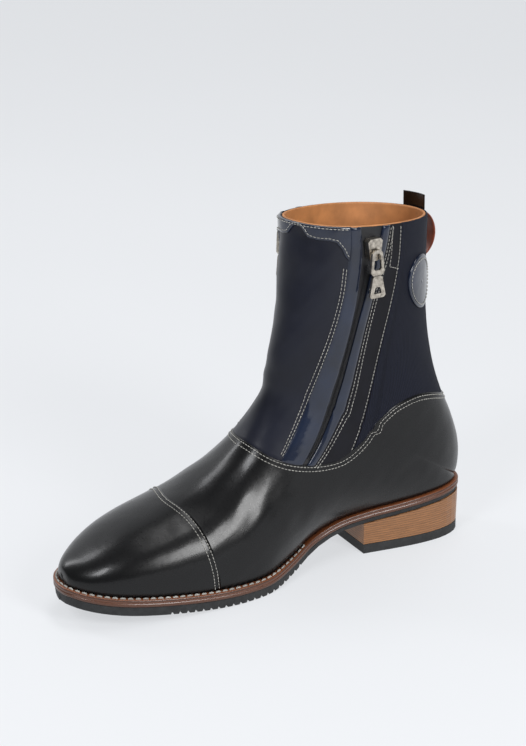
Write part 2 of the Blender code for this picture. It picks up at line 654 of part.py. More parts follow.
def build_patch(side):
    """Round patent patch on the elastic."""
    turns = np.linspace(0, 2*np.pi, 21)[:-1]
    mm_row, mm_share = 1/20.0, 1/GIRTH_MM
    rings, count = [], len(turns)
    for radius in (.5, 1.0):
        rings.append([(PATCH_ROW + radius*PATCH_RADIUS*np.sin(a)*mm_row,
                       mirrored(PATCH_SHARE + radius*PATCH_RADIUS*np.cos(a)*mm_share, side)) for a in turns])
    points, faces = [], []
    for level, offset in enumerate((ELASTIC_SINK + GAP, ELASTIC_SINK + GAP + 1.2)):
        first = len(points)
        points.append(surface(PATCH_ROW, mirrored(PATCH_SHARE, side), offset))
        for ring in rings:
            points += [surface(r, v, offset) for r, v in ring]
        for j in range(count):
            k = (j + 1) % count
            a = first + 1
            faces.append((first, a + j, a + k))
            faces.append((a + j, a + k, a + count + k, a + count + j))
    size = len(points)//2
    last = 1 + count
    faces += [(last + j, last + (j + 1) % count, size + last + (j + 1) % count, size + last + j)
              for j in range(count)]
    solid("patch_" + side, points, faces, "patent")


def build_pull_loop():
    """Leather loop that stands off the back of the shaft below the collar."""
    top = COLLAR - .12
    bottom = top - LOOP_HEIGHT/28.0
    half = LOOP_WIDTH/2/GIRTH_MM
    rows = np.linspace(bottom, top, 13)
    rise = np.linspace(0, 1, 13)
    stand = ELASTIC_SINK + GAP + LOOP_OUT*np.sin(np.pi*rise)**.6
    sheets = []
    for extra in (0.0, LOOP_THICK):
        sheets.append(np.array([[surface(r, v, h + extra) for v in (-half, 0, half)]
                                for r, h in zip(rows, stand)]))
    slab("pull_loop", sheets[1], sheets[0], "loop")


def build_back_tab():
    """Leather tab folded over the collar at the back, a little higher than the rim."""
    half = 9.5/GIRTH_MM
    shares = TAB_SHARE + np.linspace(-half, half, 7)
    peak = 9.0*(1 - ((shares - TAB_SHARE)/half)**2*.3)
    sheets = []
    for offset in (ELASTIC_SINK + GAP, ELASTIC_SINK + GAP + 1.0):
        low = [surface(COLLAR - .11, v, offset) for v in shares]
        rim = [surface(COLLAR, v, offset) for v in shares]
        high = [surface(COLLAR, v, offset) + (0, 0, p) for v, p in zip(shares, peak)]
        sheets.append(np.array([low, rim, high]))
    slab("back_tab", sheets[1], sheets[0], "calf")


def main():
    clear_scene()
    build_upper()
    build_foot_leather()
    build_toe_cap()
    build_shaft()
    build_sole()
    for side in ("medial", "lateral"):
        build_zip_pull(side)
        build_patch(side)
    build_pull_loop()
    build_back_tab()


if __name__ == "__main__":
    main()
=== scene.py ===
"""Looks of a right paddock boot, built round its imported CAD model.

Sizes are in millimetres until place() turns them into metres. A point is (x, s, z): x towards
the inner side, s forward from the heel's back, z up. The leather lies on one surface, the last,
read by (row of its section, share of its girth); each piece is a patch of it at its own height.
"""

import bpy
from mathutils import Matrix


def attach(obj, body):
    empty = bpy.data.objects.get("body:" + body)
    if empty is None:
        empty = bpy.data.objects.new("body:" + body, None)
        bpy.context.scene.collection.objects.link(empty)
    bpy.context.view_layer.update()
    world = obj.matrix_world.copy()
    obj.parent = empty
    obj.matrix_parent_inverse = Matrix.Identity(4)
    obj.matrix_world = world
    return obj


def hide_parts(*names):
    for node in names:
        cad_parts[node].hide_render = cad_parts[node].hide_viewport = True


bl_info = {
    "name": "Paddock boot looks",
    "version": (1, 0, 0),
    "blender": (4, 5, 0),
    "location": "View3D > Sidebar > Boot",
    "description": "Builds the boot's leather, stitches, sole edge, metal and studio",
    "category": "Object",
}

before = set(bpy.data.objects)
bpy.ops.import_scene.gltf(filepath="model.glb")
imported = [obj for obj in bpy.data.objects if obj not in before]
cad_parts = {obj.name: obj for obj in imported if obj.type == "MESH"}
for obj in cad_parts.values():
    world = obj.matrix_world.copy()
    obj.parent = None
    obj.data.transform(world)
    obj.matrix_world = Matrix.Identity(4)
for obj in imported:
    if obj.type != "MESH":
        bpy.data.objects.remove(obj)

import bpy
import numpy as np
from mathutils import Matrix, Vector

MM = 0.001
HEEL_MIDDLE = 38.0
ROW_MM, GIRTH_MM = 13.5, 290.0      # about what one row, and the whole girth, measure
SIDES = ("medial", "lateral")

COLUMNS = ("back_s", "back_z", "top_s", "top_z", "foot_med", "foot_lat",
           "full_med", "full_lat", "full_at", "under", "round", "ridge")
SECTIONS = np.array((
    (275.4, 24.3, 275.4, 29.5, 7.5, -3.5, 8.0, -3.0, .40, 2.0, 2.00, 5.5),
    (274.2, 24.0, 273.6, 33.0, 14.0, 2.0, 14.8, 2.6, .36, 2.0, 2.00, 5.5),
    (271.0, 23.3, 269.0, 36.6, 19.6, 8.4, 20.8, 9.4, .33, 2.0, 2.10, 5.0),
    (265.2, 22.1, 261.6, 40.4, 25.4, 15.8, 27.0, 17.2, .31, 2.0, 2.15, 4.5),
    (256.8, 20.5, 252.4, 44.6, 30.6, 23.4, 32.4, 25.0, .30, 2.0, 2.20, 4.0),
    (245.6, 18.6, 241.4, 49.0, 34.8, 30.4, 36.6, 32.4, .30, 2.0, 2.20, 3.5),
    (230.6, 16.4, 227.6, 53.4, 37.8, 37.0, 39.6, 39.2, .30, 2.0, 2.15, 3.0),
    (212.0, 14.1, 211.0, 57.8, 39.9, 42.3, 41.6, 44.6, .31, 2.0, 2.10, 3.0),
    (192.0, 12.0, 194.0, 63.4, 40.8, 45.8, 42.6, 48.4, .32, 2.0, 2.00, 3.0),
    (172.0, 11.0, 178.5, 71.8, 40.4, 46.0, 42.2, 48.6, .33, 2.0, 1.95, 3.0),
    (152.0, 11.2, 166.0, 80.4, 37.0, 43.6, 40.2, 46.8, .36, 2.0, 1.90, 3.5),
    (132.0, 14.2, 157.5, 88.4, 27.5, 38.5, 37.0, 43.8, .40, 2.0, 1.90, 3.5),
    (112.0, 20.2, 152.5, 95.0, 18.5, 33.5, 34.6, 41.0, .43, 2.0, 1.90, 3.5),
    (92.0, 26.2, 148.8, 101.2, 16.8, 29.8, 33.2, 38.6, .45, 2.0, 1.90, 3.0),
    (72.0, 29.6, 145.8, 107.0, 19.0, 27.4, 32.4, 36.8, .46, 2.0, 1.90, 2.5),
    (52.0, 31.6, 143.4, 112.5, 21.8, 26.8, 31.8, 35.4, .46, 2.0, 1.90, 2.0),
    (33.0, 33.5, 141.2, 118.0, 23.4, 26.4, 31.4, 34.4, .46, 1.9, 1.90, 1.5),
    (15.0, 35.2, 139.6, 123.5, 21.6, 23.0, 31.4, 33.6, .46, 1.7, 1.90, 1.0),
    (2.5, 36.6, 139.2, 128.5, 14.2, 14.4, 31.4, 33.0, .45, 1.5, 1.95, 0.5),
    (-2.0, 37.2, 138.8, 133.0, 0.0, 0.0, 31.6, 33.8, .45, .80, 2.00, 0.0),
    (-4.6, 47.5, 138.2, 139.0, 0.0, 0.0, 31.8, 33.6, .45, .84, 2.00, 0.0),
    (-4.0, 62.0, 137.0, 147.5, 0.0, 0.0, 31.8, 33.4, .46, .88, 2.05, 0.0),
    (0.6, 79.0, 135.0, 158.0, 0.0, 0.0, 31.8, 33.2, .47, .92, 2.10, 0.0),
    (7.2, 97.0, 132.4, 169.5, 0.0, 0.0, 32.0, 33.6, .48, .96, 2.15, 0.0),
    (11.8, 116.0, 129.8, 182.0, 0.0, 0.0, 32.4, 34.0, .49, 1.0, 2.20, 0.0),
    (14.2, 137.0, 127.4, 194.0, 0.0, 0.0, 33.0, 34.6, .50, 1.0, 2.30, 0.0),
    (14.6, 160.0, 125.4, 206.0, 0.0, 0.0, 33.8, 34.2, .50, 1.0, 2.35, 0.0),
    (14.0, 184.0, 123.0, 217.0, 0.0, 0.0, 34.6, 35.0, .50, 1.0, 2.40, 0.0),
    (13.4, 214.0, 122.4, 226.0, 0.0, 0.0, 35.2, 35.6, .50, 1.0, 2.40, 0.0),
))
COLLAR = len(SECTIONS) - 1      # row of the collar
HEEL_SEAT = 19                  # row whose back point closes the feather line behind the heel
TURN = 20.0                     # degrees that the shaft faces inwards of the foot at the collar
TURN_FROM, TURN_TO = 60.0, 190.0    # heights between which it turns
SHAFT_AXIS = 68.0               # s of the shaft's upright axis

# Lines on the upper, as (row of the section, share of its girth from the inner edge).
# The top edge of the foot leather, from the back seam to the front.
SEAM = np.array((
    (22.9, .000), (22.75, .050), (22.55, .108), (22.21, .158), (21.85, .190), (21.46, .217),
    (21.03, .240), (20.55, .258), (19.98, .272), (19.24, .284), (18.4, .277), (17.78, .270),
    (16.85, .261), (16.15, .252), (15.55, .247), (15.02, .249), (14.55, .257), (14.11, .269),
    (13.69, .285), (13.29, .304), (12.91, .325), (12.55, .350), (12.22, .376), (11.92, .405),
    (11.66, .436), (11.49, .471), (11.43, .500),
))
# The toe cap's edge, from the sole to the ridge.
CAP_EDGE = np.array((
    (8.25, 0.), (8.20, .08), (8.11, .15), (8.01, .22), (7.89, .285), (7.76, .350), (7.62, .410),
    (7.53, .460), (7.50, .5),
))
# Edges on the shaft's inner side: front panel | patent facing | zip | rear strip | elastic.
LINE_COLUMNS = ("row", "panel", "zip_front", "zip_rear", "elastic")
SHAFT_LINES = np.array((
    (12, .3450, .2780, .2620, .190), (13, .3611, .2960, .2810, .200),
    (14, .3778, .3153, .3008, .212), (15, .3917, .3350, .3205, .230),
    (16, .4028, .3530, .3385, .2541), (17, .4111, .3680, .3535, .2774),
    (18, .4148, .3764, .3619, .2923), (19, .4192, .3848, .3703, .3073),
    (20, .4167, .3838, .3693, .3061), (21, .4119, .3793, .3648, .3007),
    (22, .4051, .3735, .3590, .2914), (23, .3976, .3670, .3520, .2800),
    (24, .3905, .3610, .3445, .2685), (25, .3850, .3570, .3357, .2570),
    (26, .3835, .3555, .3265, .2490), (27, .3838, .3570, .3150, .2465),
    (28, .3840, .3620, .3040, .2460),
))
# The collar piece's lower edge, as (share of the girth, depth in mm below the collar).
COLLAR_DEPTH = np.array(((.500, 1.2), (.488, 3.2), (.474, 7.6), (.455, 8.6), (.430, 8.6),
                         (.415, 9.4), (.402, 13.5), (.395, 17.0), (.384, 20.0)))

# Heights above the last, and thicknesses.
SKIN_DEPTH = 0.8
LINING_OUT, LINING_IN = -1.7, -3.1
CAP_RAISE, PATENT_RAISE, ELASTIC_SINK = 0.5, 0.3, -0.3
CAP_DEPTH, NOSE_BULGE = 1.3, 0.8
# The welt stands out past the feather line, more before the heel's breast than at the heel.
BREAST, BALL, LEDGE_FRONT, LEDGE_HEEL = 75.0, 165.0, 3.6, 2.4
WELT_GAP, WELT_SEWN_FROM, WELT_ROW = 0.3, 118.0, -1.9
# Round patch: its middle, radius, dome, and rows' spacing on the shaft there.
PATCH_ROW, PATCH_SHARE, PATCH_RADIUS, PATCH_ROW_MM = 26.25, .150, 16.5, 20.0
PATCH_STAND, PATCH_DOME, PATCH_SEWN = 1.3, 0.5, .86
# Pull loop and back tab: half width, thickness, and how far each stands out or up.
LOOP_HALF, LOOP_THICK, LOOP_STAND = 7.0, 1.8, 11.5
TAB_HALF, TAB_THICK, TAB_RISE, TAB_SHARE = 9.5, 1.0, 9.0, .010
# The foot leather runs on past the seam (mm) and under the toe cap (rows); it opens at the back.
FOOT_LAP, CAP_LAP_ROWS, BACK_SEAM = 0.45, 0.5, .0009
# Where stitch rows lie, in mm across from the line they follow.
FOOT_ROWS, CAP_ROWS, COLLAR_ROW = (-1.1, -3.6), (-1.5, -4.1), 1.6
SHAFT_ROWS = (("panel", (1.4, 3.4), 2.0), ("elastic", (1.4,), .12), ("zip_rear", (-6.6, -8.8), .12))
STRIP_TOP_ROW, STRIP_TOP_MM = 26.5, 9
# Widths in mm round the zips: patent piping, and how far one piece runs under the next.
PIPING, PIPING_LAP, FACING_LAP, TAPE_LAP = 5.2, 0.6, 1.6, 1.0
ZIP_TOP_ROW, TOOTH_PITCH, TOOTH_SHIFT = 26.4, 0.8, 0.4

# Camera, fitted to the sole's and shaft's outlines: turn about Z, pitch and roll in degrees.
CAMERA_TURN, CAMERA_PITCH, CAMERA_ROLL = 62.97, 20.05, 1.18
CAMERA_AT = (900.67, -556.31, 497.6)
CAMERA_LENS = 84.65
SWEEP_BEND = 1.2        # radius in metres of the bend between the backdrop's floor and wall
LAMPS_AIM = (0, -.08, .08)


def ease(low, high, value):
    """Smooth step from 0 at low to 1 at high."""
    t = np.clip((value - low)/(high - low), 0, 1)
    return t*t*(3 - 2*t)


def smooth_rows(rows, at):
    """Catmull-Rom reading of a table at real-valued row numbers."""
    at = np.clip(np.asarray(at, float), 0, len(rows) - 1)
    i = np.minimum(at.astype(int), len(rows) - 2)
    t = (at - i)[..., None]
    p0, p1, p2, p3 = (rows[np.clip(i + k, 0, len(rows) - 1)] for k in (-1, 0, 1, 2))
    return p1 + t*((p2 - p0)/2 + t*(p0 - 2.5*p1 + 2*p2 - p3/2 + t*(1.5*(p1 - p2) + (p3 - p0)/2)))


def turned(points):
    """The shaft's turn about its own upright axis, growing with height."""
    angle = np.radians(TURN)*ease(TURN_FROM, TURN_TO, points[..., 2])
    x, s = points[..., 0], points[..., 1] - SHAFT_AXIS
    return np.stack([x*np.cos(angle) + s*np.sin(angle),
                     SHAFT_AXIS + s*np.cos(angle) - x*np.sin(angle), points[..., 2]], -1)


def run_along(points):
    """Distance along a line at each of its points."""
    return np.r_[0, np.cumsum(np.linalg.norm(np.diff(points, axis=0), axis=1))]


def read_line(at, run, values):
    """Values of a line at distances along it, each column by itself."""
    return np.stack([np.interp(at, run, column) for column in values.T], -1)


def section(row, shares):
    """Points of one section at shares of its girth, from the inner edge over the ridge."""
    c = dict(zip(COLUMNS, smooth_rows(SECTIONS, row)))
    turn = np.linspace(0, np.pi/2, 60)
    arch = turn[1:]
    out = np.empty((len(shares), 3))
    sides = ((1, "med", shares <= .5, 2*shares), (-1, "lat", shares > .5, 2 - 2*shares))
    for sign, side, mine, k in sides:
        foot, full = c["foot_" + side], c["full_" + side]
        top, power = sign*c["ridge"], 2/c["round"]
        x = np.r_[foot + (full - foot)*np.sin(turn)**c["under"],
                  top + (full - top)*np.abs(np.cos(arch))**power]
        full_at = c["full_at"]
        q = np.r_[full_at*(1 - np.cos(turn)), full_at + (1 - full_at)*np.sin(arch)**power]
        points = turned(np.stack([sign*x, c["back_s"] + q*(c["top_s"] - c["back_s"]),
                                  c["back_z"] + q*(c["top_z"] - c["back_z"])], -1))
        run = run_along(points)
        out[mine] = read_line(k[mine], run/run[-1], points)
    return out


ROW_STEP, SHARE_STEP = .05, 1/400
GRID_ROWS = np.arange(0, COLLAR + ROW_STEP/2, ROW_STEP)
GRID_SHARES = np.arange(0, 1 + SHARE_STEP/2, SHARE_STEP)
LAST = np.array([section(row, GRID_SHARES) for row in GRID_ROWS])


def last_normals():
    """Outward normals on the grid; under the foot's side they are kept near level."""
    along = np.gradient(LAST, axis=0)
    around = np.gradient(LAST, axis=1)
    closed = GRID_ROWS > HEEL_SEAT
    around[closed, 0] = around[closed, -1] = LAST[closed, 1] - LAST[closed, -2]
    normal = np.cross(around, along)
    low = ~closed
    level = np.hypot(normal[low, :, 0], normal[low, :, 1])
    normal[low, :, 2] = np.maximum(normal[low, :, 2], -.3*level)
    return normal/np.maximum(np.linalg.norm(normal, axis=-1), 1e-9)[..., None]


NORMALS = last_normals()


def read_grid(grid, row, share):
    """Bilinear reading of a grid on the last."""
    row, share = np.broadcast_arrays(np.asarray(row, float), np.asarray(share, float))
    share = np.where(share < 0, share + 1, share)
    share = np.where((share > 1) & (row > HEEL_SEAT), share - 1, share)
    a = np.clip(row/ROW_STEP, 0, len(GRID_ROWS) - 1.0001)
    b = np.clip(share/SHARE_STEP, 0, len(GRID_SHARES) - 1.0001)
    i, j = a.astype(int), b.astype(int)
    fa, fb = (a - i)[..., None], (b - j)[..., None]
    near = grid[i, j]*(1 - fb) + grid[i, j + 1]*fb
    far = grid[i + 1, j]*(1 - fb) + grid[i + 1, j + 1]*fb
    return near*(1 - fa) + far*fa


FEATHER = smooth_rows(SECTIONS[:HEEL_SEAT + 1, :2], np.linspace(HEEL_SEAT, 0, 400))


def feather_height(s):
    """Height of the feather line, where the upper meets the welt."""
    return np.interp(s, FEATHER[:, 0], FEATHER[:, 1])


def normal_at(row, share):
    """Unit normals of the last."""
    normal = read_grid(NORMALS, row, share)
    return normal/np.linalg.norm(normal, axis=-1)[..., None]


def surface(row, share, height=0.0):
    """Points at a height above the last."""
    point = read_grid(LAST, row, share)
    point = point + normal_at(row, share)*np.asarray(height, float)[..., None]
    low = np.broadcast_to(np.asarray(row) <= HEEL_SEAT + 1, point.shape[:-1])
    z = point[..., 2]
    point[..., 2] = np.where(low, np.maximum(z, feather_height(point[..., 1])), z)
    return point


def shifted(row, share, mm):
    """A line moved sideways along the surface, positive to the left of its direction."""
    row, share = np.asarray(row, float), np.asarray(share, float)
    point, normal = surface(row, share), normal_at(row, share)
    ahead = np.gradient(point, axis=0)
    ahead /= np.maximum(np.linalg.norm(ahead, axis=-1), 1e-9)[:, None]
    side = np.cross(normal, ahead)*np.asarray(mm, float).reshape(-1, 1)
    du = (read_grid(LAST, row + .05, share) - read_grid(LAST, row - .05, share))/.1
    dv = (read_grid(LAST, row, share + .004) - read_grid(LAST, row, share - .004))/.008
    guu, guv, gvv = (du*du).sum(-1), (du*dv).sum(-1), (dv*dv).sum(-1)
    bu, bv = (side*du).sum(-1), (side*dv).sum(-1)
    det = np.maximum(guu*gvv - guv*guv, 1e-6)
    return row + (gvv*bu - guv*bv)/det, share + (guu*bv - guv*bu)/det


def smoothed(values, reach=9):
    """Moving average that keeps the ends."""
    padded = np.pad(values, reach, mode="reflect", reflect_type="odd")
    return np.convolve(padded, np.full(2*reach + 1, 1/(2*reach + 1)), mode="valid")


def line_at(name, row):
    """Share of the girth at which a shaft line crosses rows, on the inner side."""
    table = smooth_rows(SHAFT_LINES, np.asarray(row, float) - SHAFT_LINES[0, 0])
    return table[..., LINE_COLUMNS.index(name)]


def shaft_line(name, mm=0.0):
    """A shaft line moved towards the ridge, as a function of the row."""
    return lambda row: line_at(name, row) + mm/GIRTH_MM


def seam_line(count=160):
    """The foot leather's top edge from the back seam to the ridge, evenly spaced."""
    fine = smooth_rows(SEAM, np.linspace(0, len(SEAM) - 1, 800))
    run = run_along(surface(fine[:, 0], fine[:, 1]))
    return read_line(np.linspace(0, run[-1], count), run, fine).T


def seam_crossing(share_of):
    """Row where a shaft line meets the foot leather's edge, coming down."""
    rows, shares = seam_line(400)
    gap = shares - share_of(rows)
    cross = np.nonzero(gap[:-1]*gap[1:] <= 0)[0][-1]
    return rows[cross]


def on_side(share, side):
    """A share of the inner side, or its mirror image on the outer side."""
    return share if side == "medial" else 1 - share


def both_halves(row, share, turn=1):
    """A grid from an outer edge to the middle, joined to its mirror image about turn/2."""
    return (np.concatenate([row, row[:, -2::-1]], axis=1),
            np.concatenate([share, turn - share[:, -2::-1]], axis=1))


# Meshes

def place(points):
    """Points in mm as metres in the row frame."""
    points = np.asarray(points, float)
    return np.stack([points[..., 0], HEEL_MIDDLE - points[..., 1], points[..., 2]], -1)*MM


def make_object(name, points, faces, look, facing=None, uv=None, replaces=None):
    """Smooth-shaded piece on the boot, of the material named look, which is also its slot.

    facing is the way in which its middle face looks; uv is one pair in mm for each point.
    """
    if facing is not None:
        faces = outward(points, faces, facing)
    mesh = bpy.data.meshes.new(name)
    mesh.from_pydata(place(points).tolist(), [], faces)
    mesh.validate()
    mesh.shade_smooth()
    if uv is not None:
        layer = mesh.uv_layers.new(name="millimetres")
        corner = np.empty(len(mesh.loops), int)
        mesh.loops.foreach_get("vertex_index", corner)
        layer.data.foreach_set("uv", np.asarray(uv, float)[corner].ravel())
    mesh.materials.append(material_for(look))
    piece = bpy.data.objects.new(name, mesh)
    bpy.context.scene.collection.objects.link(piece)
    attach(piece, "boot")
    if replaces:
        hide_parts(replaces)


def quads(rows, columns, first=0, wrap=False):
    """Faces between the points of a grid; wrap closes each row on itself."""
    index = first + np.arange(rows*columns).reshape(rows, columns)
    if wrap:
        index = np.concatenate([index, index[:, :1]], axis=1)
    corners = index[:-1, :-1], index[:-1, 1:], index[1:, 1:], index[1:, :-1]
    return np.stack(corners, -1).reshape(-1, 4).tolist()


def outward(points, faces, direction):
    """Faces, all turned over where the middle one looks against the direction."""
    a, b, c = (np.array(points[k]) for k in faces[len(faces)//2][:3])
    if np.dot(np.cross(b - a, c - a), direction) > 0:
        return faces
    return [face[::-1] for face in faces]


def edge_steps(count, first=.012):
    """Steps from 0 to 1 with a narrow first and last one, for a crisp rolled edge."""
    return np.r_[0, np.linspace(first, 1 - first, count - 2), 1]


def patch(name, row, share, height, look, depth=SKIN_DEPTH, roll=.28, replaces=None):
    """Leather patch over a grid of (row, share): its face at a height, its cut edges turned down."""
    row, share = np.broadcast_arrays(row, share)
    height = np.broadcast_to(np.asarray(height, float), row.shape).copy()
    drop = np.zeros(row.shape)
    drop[[0, -1]] = drop[:, [0, -1]] = roll
    normal = normal_at(*(value[tuple(k//2 for k in row.shape)] for value in (row, share)))
    row, share, height = (np.pad(value, 1, mode="edge") for value in (row, share, height - drop))
    cut = np.ones(row.shape, bool)
    cut[1:-1, 1:-1] = False
    points = surface(row, share, np.where(cut, height - depth, height))
    across, along = np.zeros(row.shape), np.zeros(row.shape)
    across[:, 1:] = np.cumsum(np.linalg.norm(np.diff(points, axis=1), axis=-1), axis=1)
    along[1:] = np.cumsum(np.linalg.norm(np.diff(points, axis=0), axis=-1), axis=0)
    uv = np.stack([across - across.mean(axis=1, keepdims=True), along], -1).reshape(-1, 2)
    make_object(name, points.reshape(-1, 3), quads(*row.shape), look, normal, uv, replaces)


def stitches(name, lines, pitch, length, width, lift=.25):
    """Separate six-sided stitches along lines. Each line is (points, normals) in mm."""
    turns = np.linspace(0, 2*np.pi, 7)[:-1]
    along = np.array((-.5, -.36, 0, .36, .5))*length
    girth = np.array((.35, .85, 1, .85, .35))*width/2
    sink = np.array((-.75, -.1, .1, -.1, -.75))*width/2
    points, faces = [], []
    for line, normals in lines:
        run = run_along(line)
        count = max(int(run[-1]/pitch), 1)
        spots = (np.arange(count) + .5)*run[-1]/count
        wobble = .06*width*np.sin(spots*2.7) + .05*width*np.sin(spots*1.13)
        at, up = read_line(spots, run, line), read_line(spots, run, normals)
        ahead = read_line(spots + .4, run, line) - read_line(spots - .4, run, line)
        ahead /= np.linalg.norm(ahead, axis=1)[:, None]
        side = np.cross(up, ahead)
        side /= np.linalg.norm(side, axis=1)[:, None]
        up = np.cross(ahead, side)
        for k in range(count):
            first = len(points)
            centre = at[k] + up[k]*lift + side[k]*wobble[k]
            for a, g, z in zip(along, girth, sink):
                for turn in turns:
                    rise = z + g*np.sin(turn)
                    points.append(centre + ahead[k]*a + side[k]*g*np.cos(turn) + up[k]*rise)
            faces += quads(len(along), 6, first, wrap=True)
            last_ring = first + 6*(len(along) - 1)
            faces.append([first + j for j in range(6)])
            faces.append([last_ring + j for j in range(5, -1, -1)])
    make_object(name, np.array(points), faces, "thread")


def sewing(kind="upper"):
    """Pitch, length and width in mm of a kind of stitch."""
    sizes = bpy.context.scene.boot_sizes
    pitch = getattr(sizes, kind + "_pitch")/MM
    return {"pitch": pitch, "length": .77*pitch, "width": getattr(sizes, kind + "_thread")/MM}


def sewn_line(row, share, height=0.0):
    """Points and normals of a stitch line."""
    return surface(row, share, height), normal_at(row, share)


# Materials

def linear(code):
    """An sRGB hex colour as linear RGBA, the one place where colours are turned linear."""
    value = np.array([int(code[k:k + 2], 16)/255 for k in (1, 3, 5)])
    value = np.where(value <= .04045, value/12.92, ((value + .055)/1.055)**2.4)
    return (*value.tolist(), 1.0)


def add(tree, kind, inputs=(), output=0, stops=(), **settings):
    """One node with its settings, links and colour stops, as the output that is read from it.

    inputs maps a socket to a value or to another node's output; a stop is (position, linear RGBA).
    """
    node = tree.nodes.new("ShaderNode" + kind)
    for name, value in settings.items():
        setattr(node, name, value)
    for socket, value in dict(inputs).items():
        if isinstance(value, bpy.types.NodeSocket):
            tree.links.new(value, node.inputs[socket])
        else:
            node.inputs[socket].default_value = value
    if stops:
        elements = node.color_ramp.elements
        while len(elements) < len(stops):
            elements.new(.5)
        for element, (position, tone) in zip(elements, stops):
            element.position = position
            element.color = tone
    return node.outputs[output]


def new_material(name):
    """A material, its node tree, its shader, and its object coordinates in metres."""
    material = bpy.data.materials.new(name)
    material.use_nodes = True
    tree = material.node_tree
    return material, tree, tree.nodes["Principled BSDF"], add(tree, "TexCoord", output="Object")


def join(tree, shader, **values):
    """Values or outputs put on the shader's sockets; underscores stand for spaces."""
    for name, value in values.items():
        socket = shader.inputs[name.replace("_", " ")]
        if isinstance(value, bpy.types.NodeSocket):
            tree.links.new(value, socket)
        else:
            socket.default_value = value


def chosen(name, factor=1.0):
    """A colour of the settings, darker or lighter, as linear RGBA."""
    return (*(channel*factor for channel in getattr(bpy.context.scene.boot_colours, name)), 1.0)


def features(here, size_mm, detail=3.0, roughness=.55):
    """Inputs of a texture whose features are about size_mm across, on coordinates in metres."""
    return {"Vector": here, "Scale": 1/(size_mm*MM), "Detail": detail, "Roughness": roughness}


def between(value, low, high):
    """Inputs that spread a 0 to 1 value between two numbers."""
    return {"Value": value, "To Min": low, "To Max": high}


def clouded(tree, size, dark, light):
    """A colour that drifts from dark to light in clouds, given by the texture's features."""
    cloud = add(tree, "TexNoise", size)
    return add(tree, "ValToRGB", {"Fac": cloud}, stops=((.3, dark), (.7, light)))


def relief(tree, height, depth_mm, strength, below=None):
    """Normal of a real relief over a coarser one; height is a socket, or a texture's features."""
    if isinstance(height, dict):
        height = add(tree, "TexNoise", height)
    inputs = {"Height": height, "Distance": depth_mm*MM, "Strength": strength}
    if below is not None:
        inputs["Normal"] = below
    return add(tree, "Bump", inputs)


def wave(tree, value, pitch):
    """Sine of a value, one turn in each pitch."""
    turns = add(tree, "Math", {0: value, 1: 2*np.pi/pitch}, operation="MULTIPLY")
    return add(tree, "Math", {0: turns}, operation="SINE")


def polished_calf():
    """Polished black calf: a waxed gloss over fine pores, so the highlight has soft edges."""
    material, tree, shader, here = new_material("polished_calf_leather")
    pores = add(tree, "TexVoronoi", {"Vector": here, "Scale": 1/(.55*MM)}, "Distance",
                feature="DISTANCE_TO_EDGE")
    haze = add(tree, "TexNoise", features(here, 1.6, 4))
    soft = relief(tree, features(here, 14, 2), .35, .5)
    join(tree, shader,
         Base_Color=clouded(tree, features(here, 28, 2), chosen("calf", .8), chosen("calf", 1.3)),
         Roughness=add(tree, "MapRange", between(haze, .24, .33)),
         Normal=relief(tree, pores, .02, .35, soft),
         Specular_IOR_Level=.3, Coat_Weight=.12, Coat_Roughness=.12)
    return material


def waxed_panel():
    """Waxed navy-black leather of the front panel: slow dents break the light into soft streaks."""
    material, tree, shader, here = new_material("waxed_navy_leather")
    cloud = add(tree, "TexNoise", features(here, 30, 3))
    dents = relief(tree, features(here, 22, 2), .7, .6)
    join(tree, shader,
         Base_Color=clouded(tree, features(here, 30, 3), chosen("panel", .75), chosen("panel", 1.3)),
         Roughness=add(tree, "MapRange", between(cloud, .34, .5)),
         Normal=relief(tree, features(here, .35, 4, .7), .03, .4, dents),
         Specular_IOR_Level=.28, Coat_Weight=.1, Coat_Roughness=.2)
    return material


def patent():
    """Patent leather: a clear lacquer over navy, with slow waves that bend reflections."""
    material, tree, shader, here = new_material("navy_patent_leather")
    slow = relief(tree, features(here, 13, 2), .6, .5)
    fine = relief(tree, features(here, 1.6, 2), .03, .3, slow)
    join(tree, shader,
         Base_Color=clouded(tree, features(here, 18, 2), chosen("patent", .7), chosen("patent", 1.4)),
         Roughness=.22, Specular_IOR_Level=.3, Normal=fine, Coat_Weight=.7, Coat_Roughness=.03,
         Coat_Normal=fine)
    return material


def plain(name, cloud, dark, light, grain, depth_mm, strength, **values):
    """Material of a clouded colour over one fine relief; cloud and grain are (mm, detail, ...)."""
    material, tree, shader, here = new_material(name)
    join(tree, shader, Base_Color=clouded(tree, features(here, *cloud), dark, light),
         Normal=relief(tree, features(here, *grain), depth_mm, strength), **values)
    return material


def grey_strip():
    """Slate nubuck of the strips behind the zips: dry, with a short nap."""
    return plain("slate_nubuck_leather", (12, 3), chosen("strip", .75), chosen("strip", 1.3),
                 (.3, 4, .7), .06, .6, Roughness=.72, Specular_IOR_Level=.25)


def ribbed_elastic():
    """Woven elastic: upright ribs 1.4 mm apart, each crossed by small picks of thread, with painted
    shade in the rib valleys and painted light on the crowns.
    """
    material, tree, shader, here = new_material("ribbed_elastic_webbing")
    flat = add(tree, "UVMap", uv_map="millimetres")
    rib = wave(tree, add(tree, "SeparateXYZ", {"Vector": flat}, "X"), 1.4)
    pick = wave(tree, add(tree, "SeparateXYZ", {"Vector": flat}, "Y"), .62)
    weave = add(tree, "Math", {0: pick, 1: .3, 2: rib}, operation="MULTIPLY_ADD")
    height = add(tree, "MapRange", between(weave, 0, 1))
    # painted light and shade: the rib crowns are painted lighter and the valleys between the ribs
    # darker
    painted_rib_shade = add(tree, "MapRange", {"Value": rib, "From Min": -1.0, "From Max": 1.0})
    cloud = add(tree, "TexNoise", features(here, 20, 2))
    cloud_and_rib_shade = add(tree, "Math", {0: cloud, 1: .35, 2: painted_rib_shade}, operation="MULTIPLY_ADD")
    tones = (.15, chosen("elastic", .45)), (1.0, chosen("elastic", 1.5))
    join(tree, shader, Base_Color=add(tree, "ValToRGB", {"Fac": cloud_and_rib_shade}, stops=tones),
         Roughness=.74, Specular_IOR_Level=.25, Normal=relief(tree, height, .28, .8))
    return material


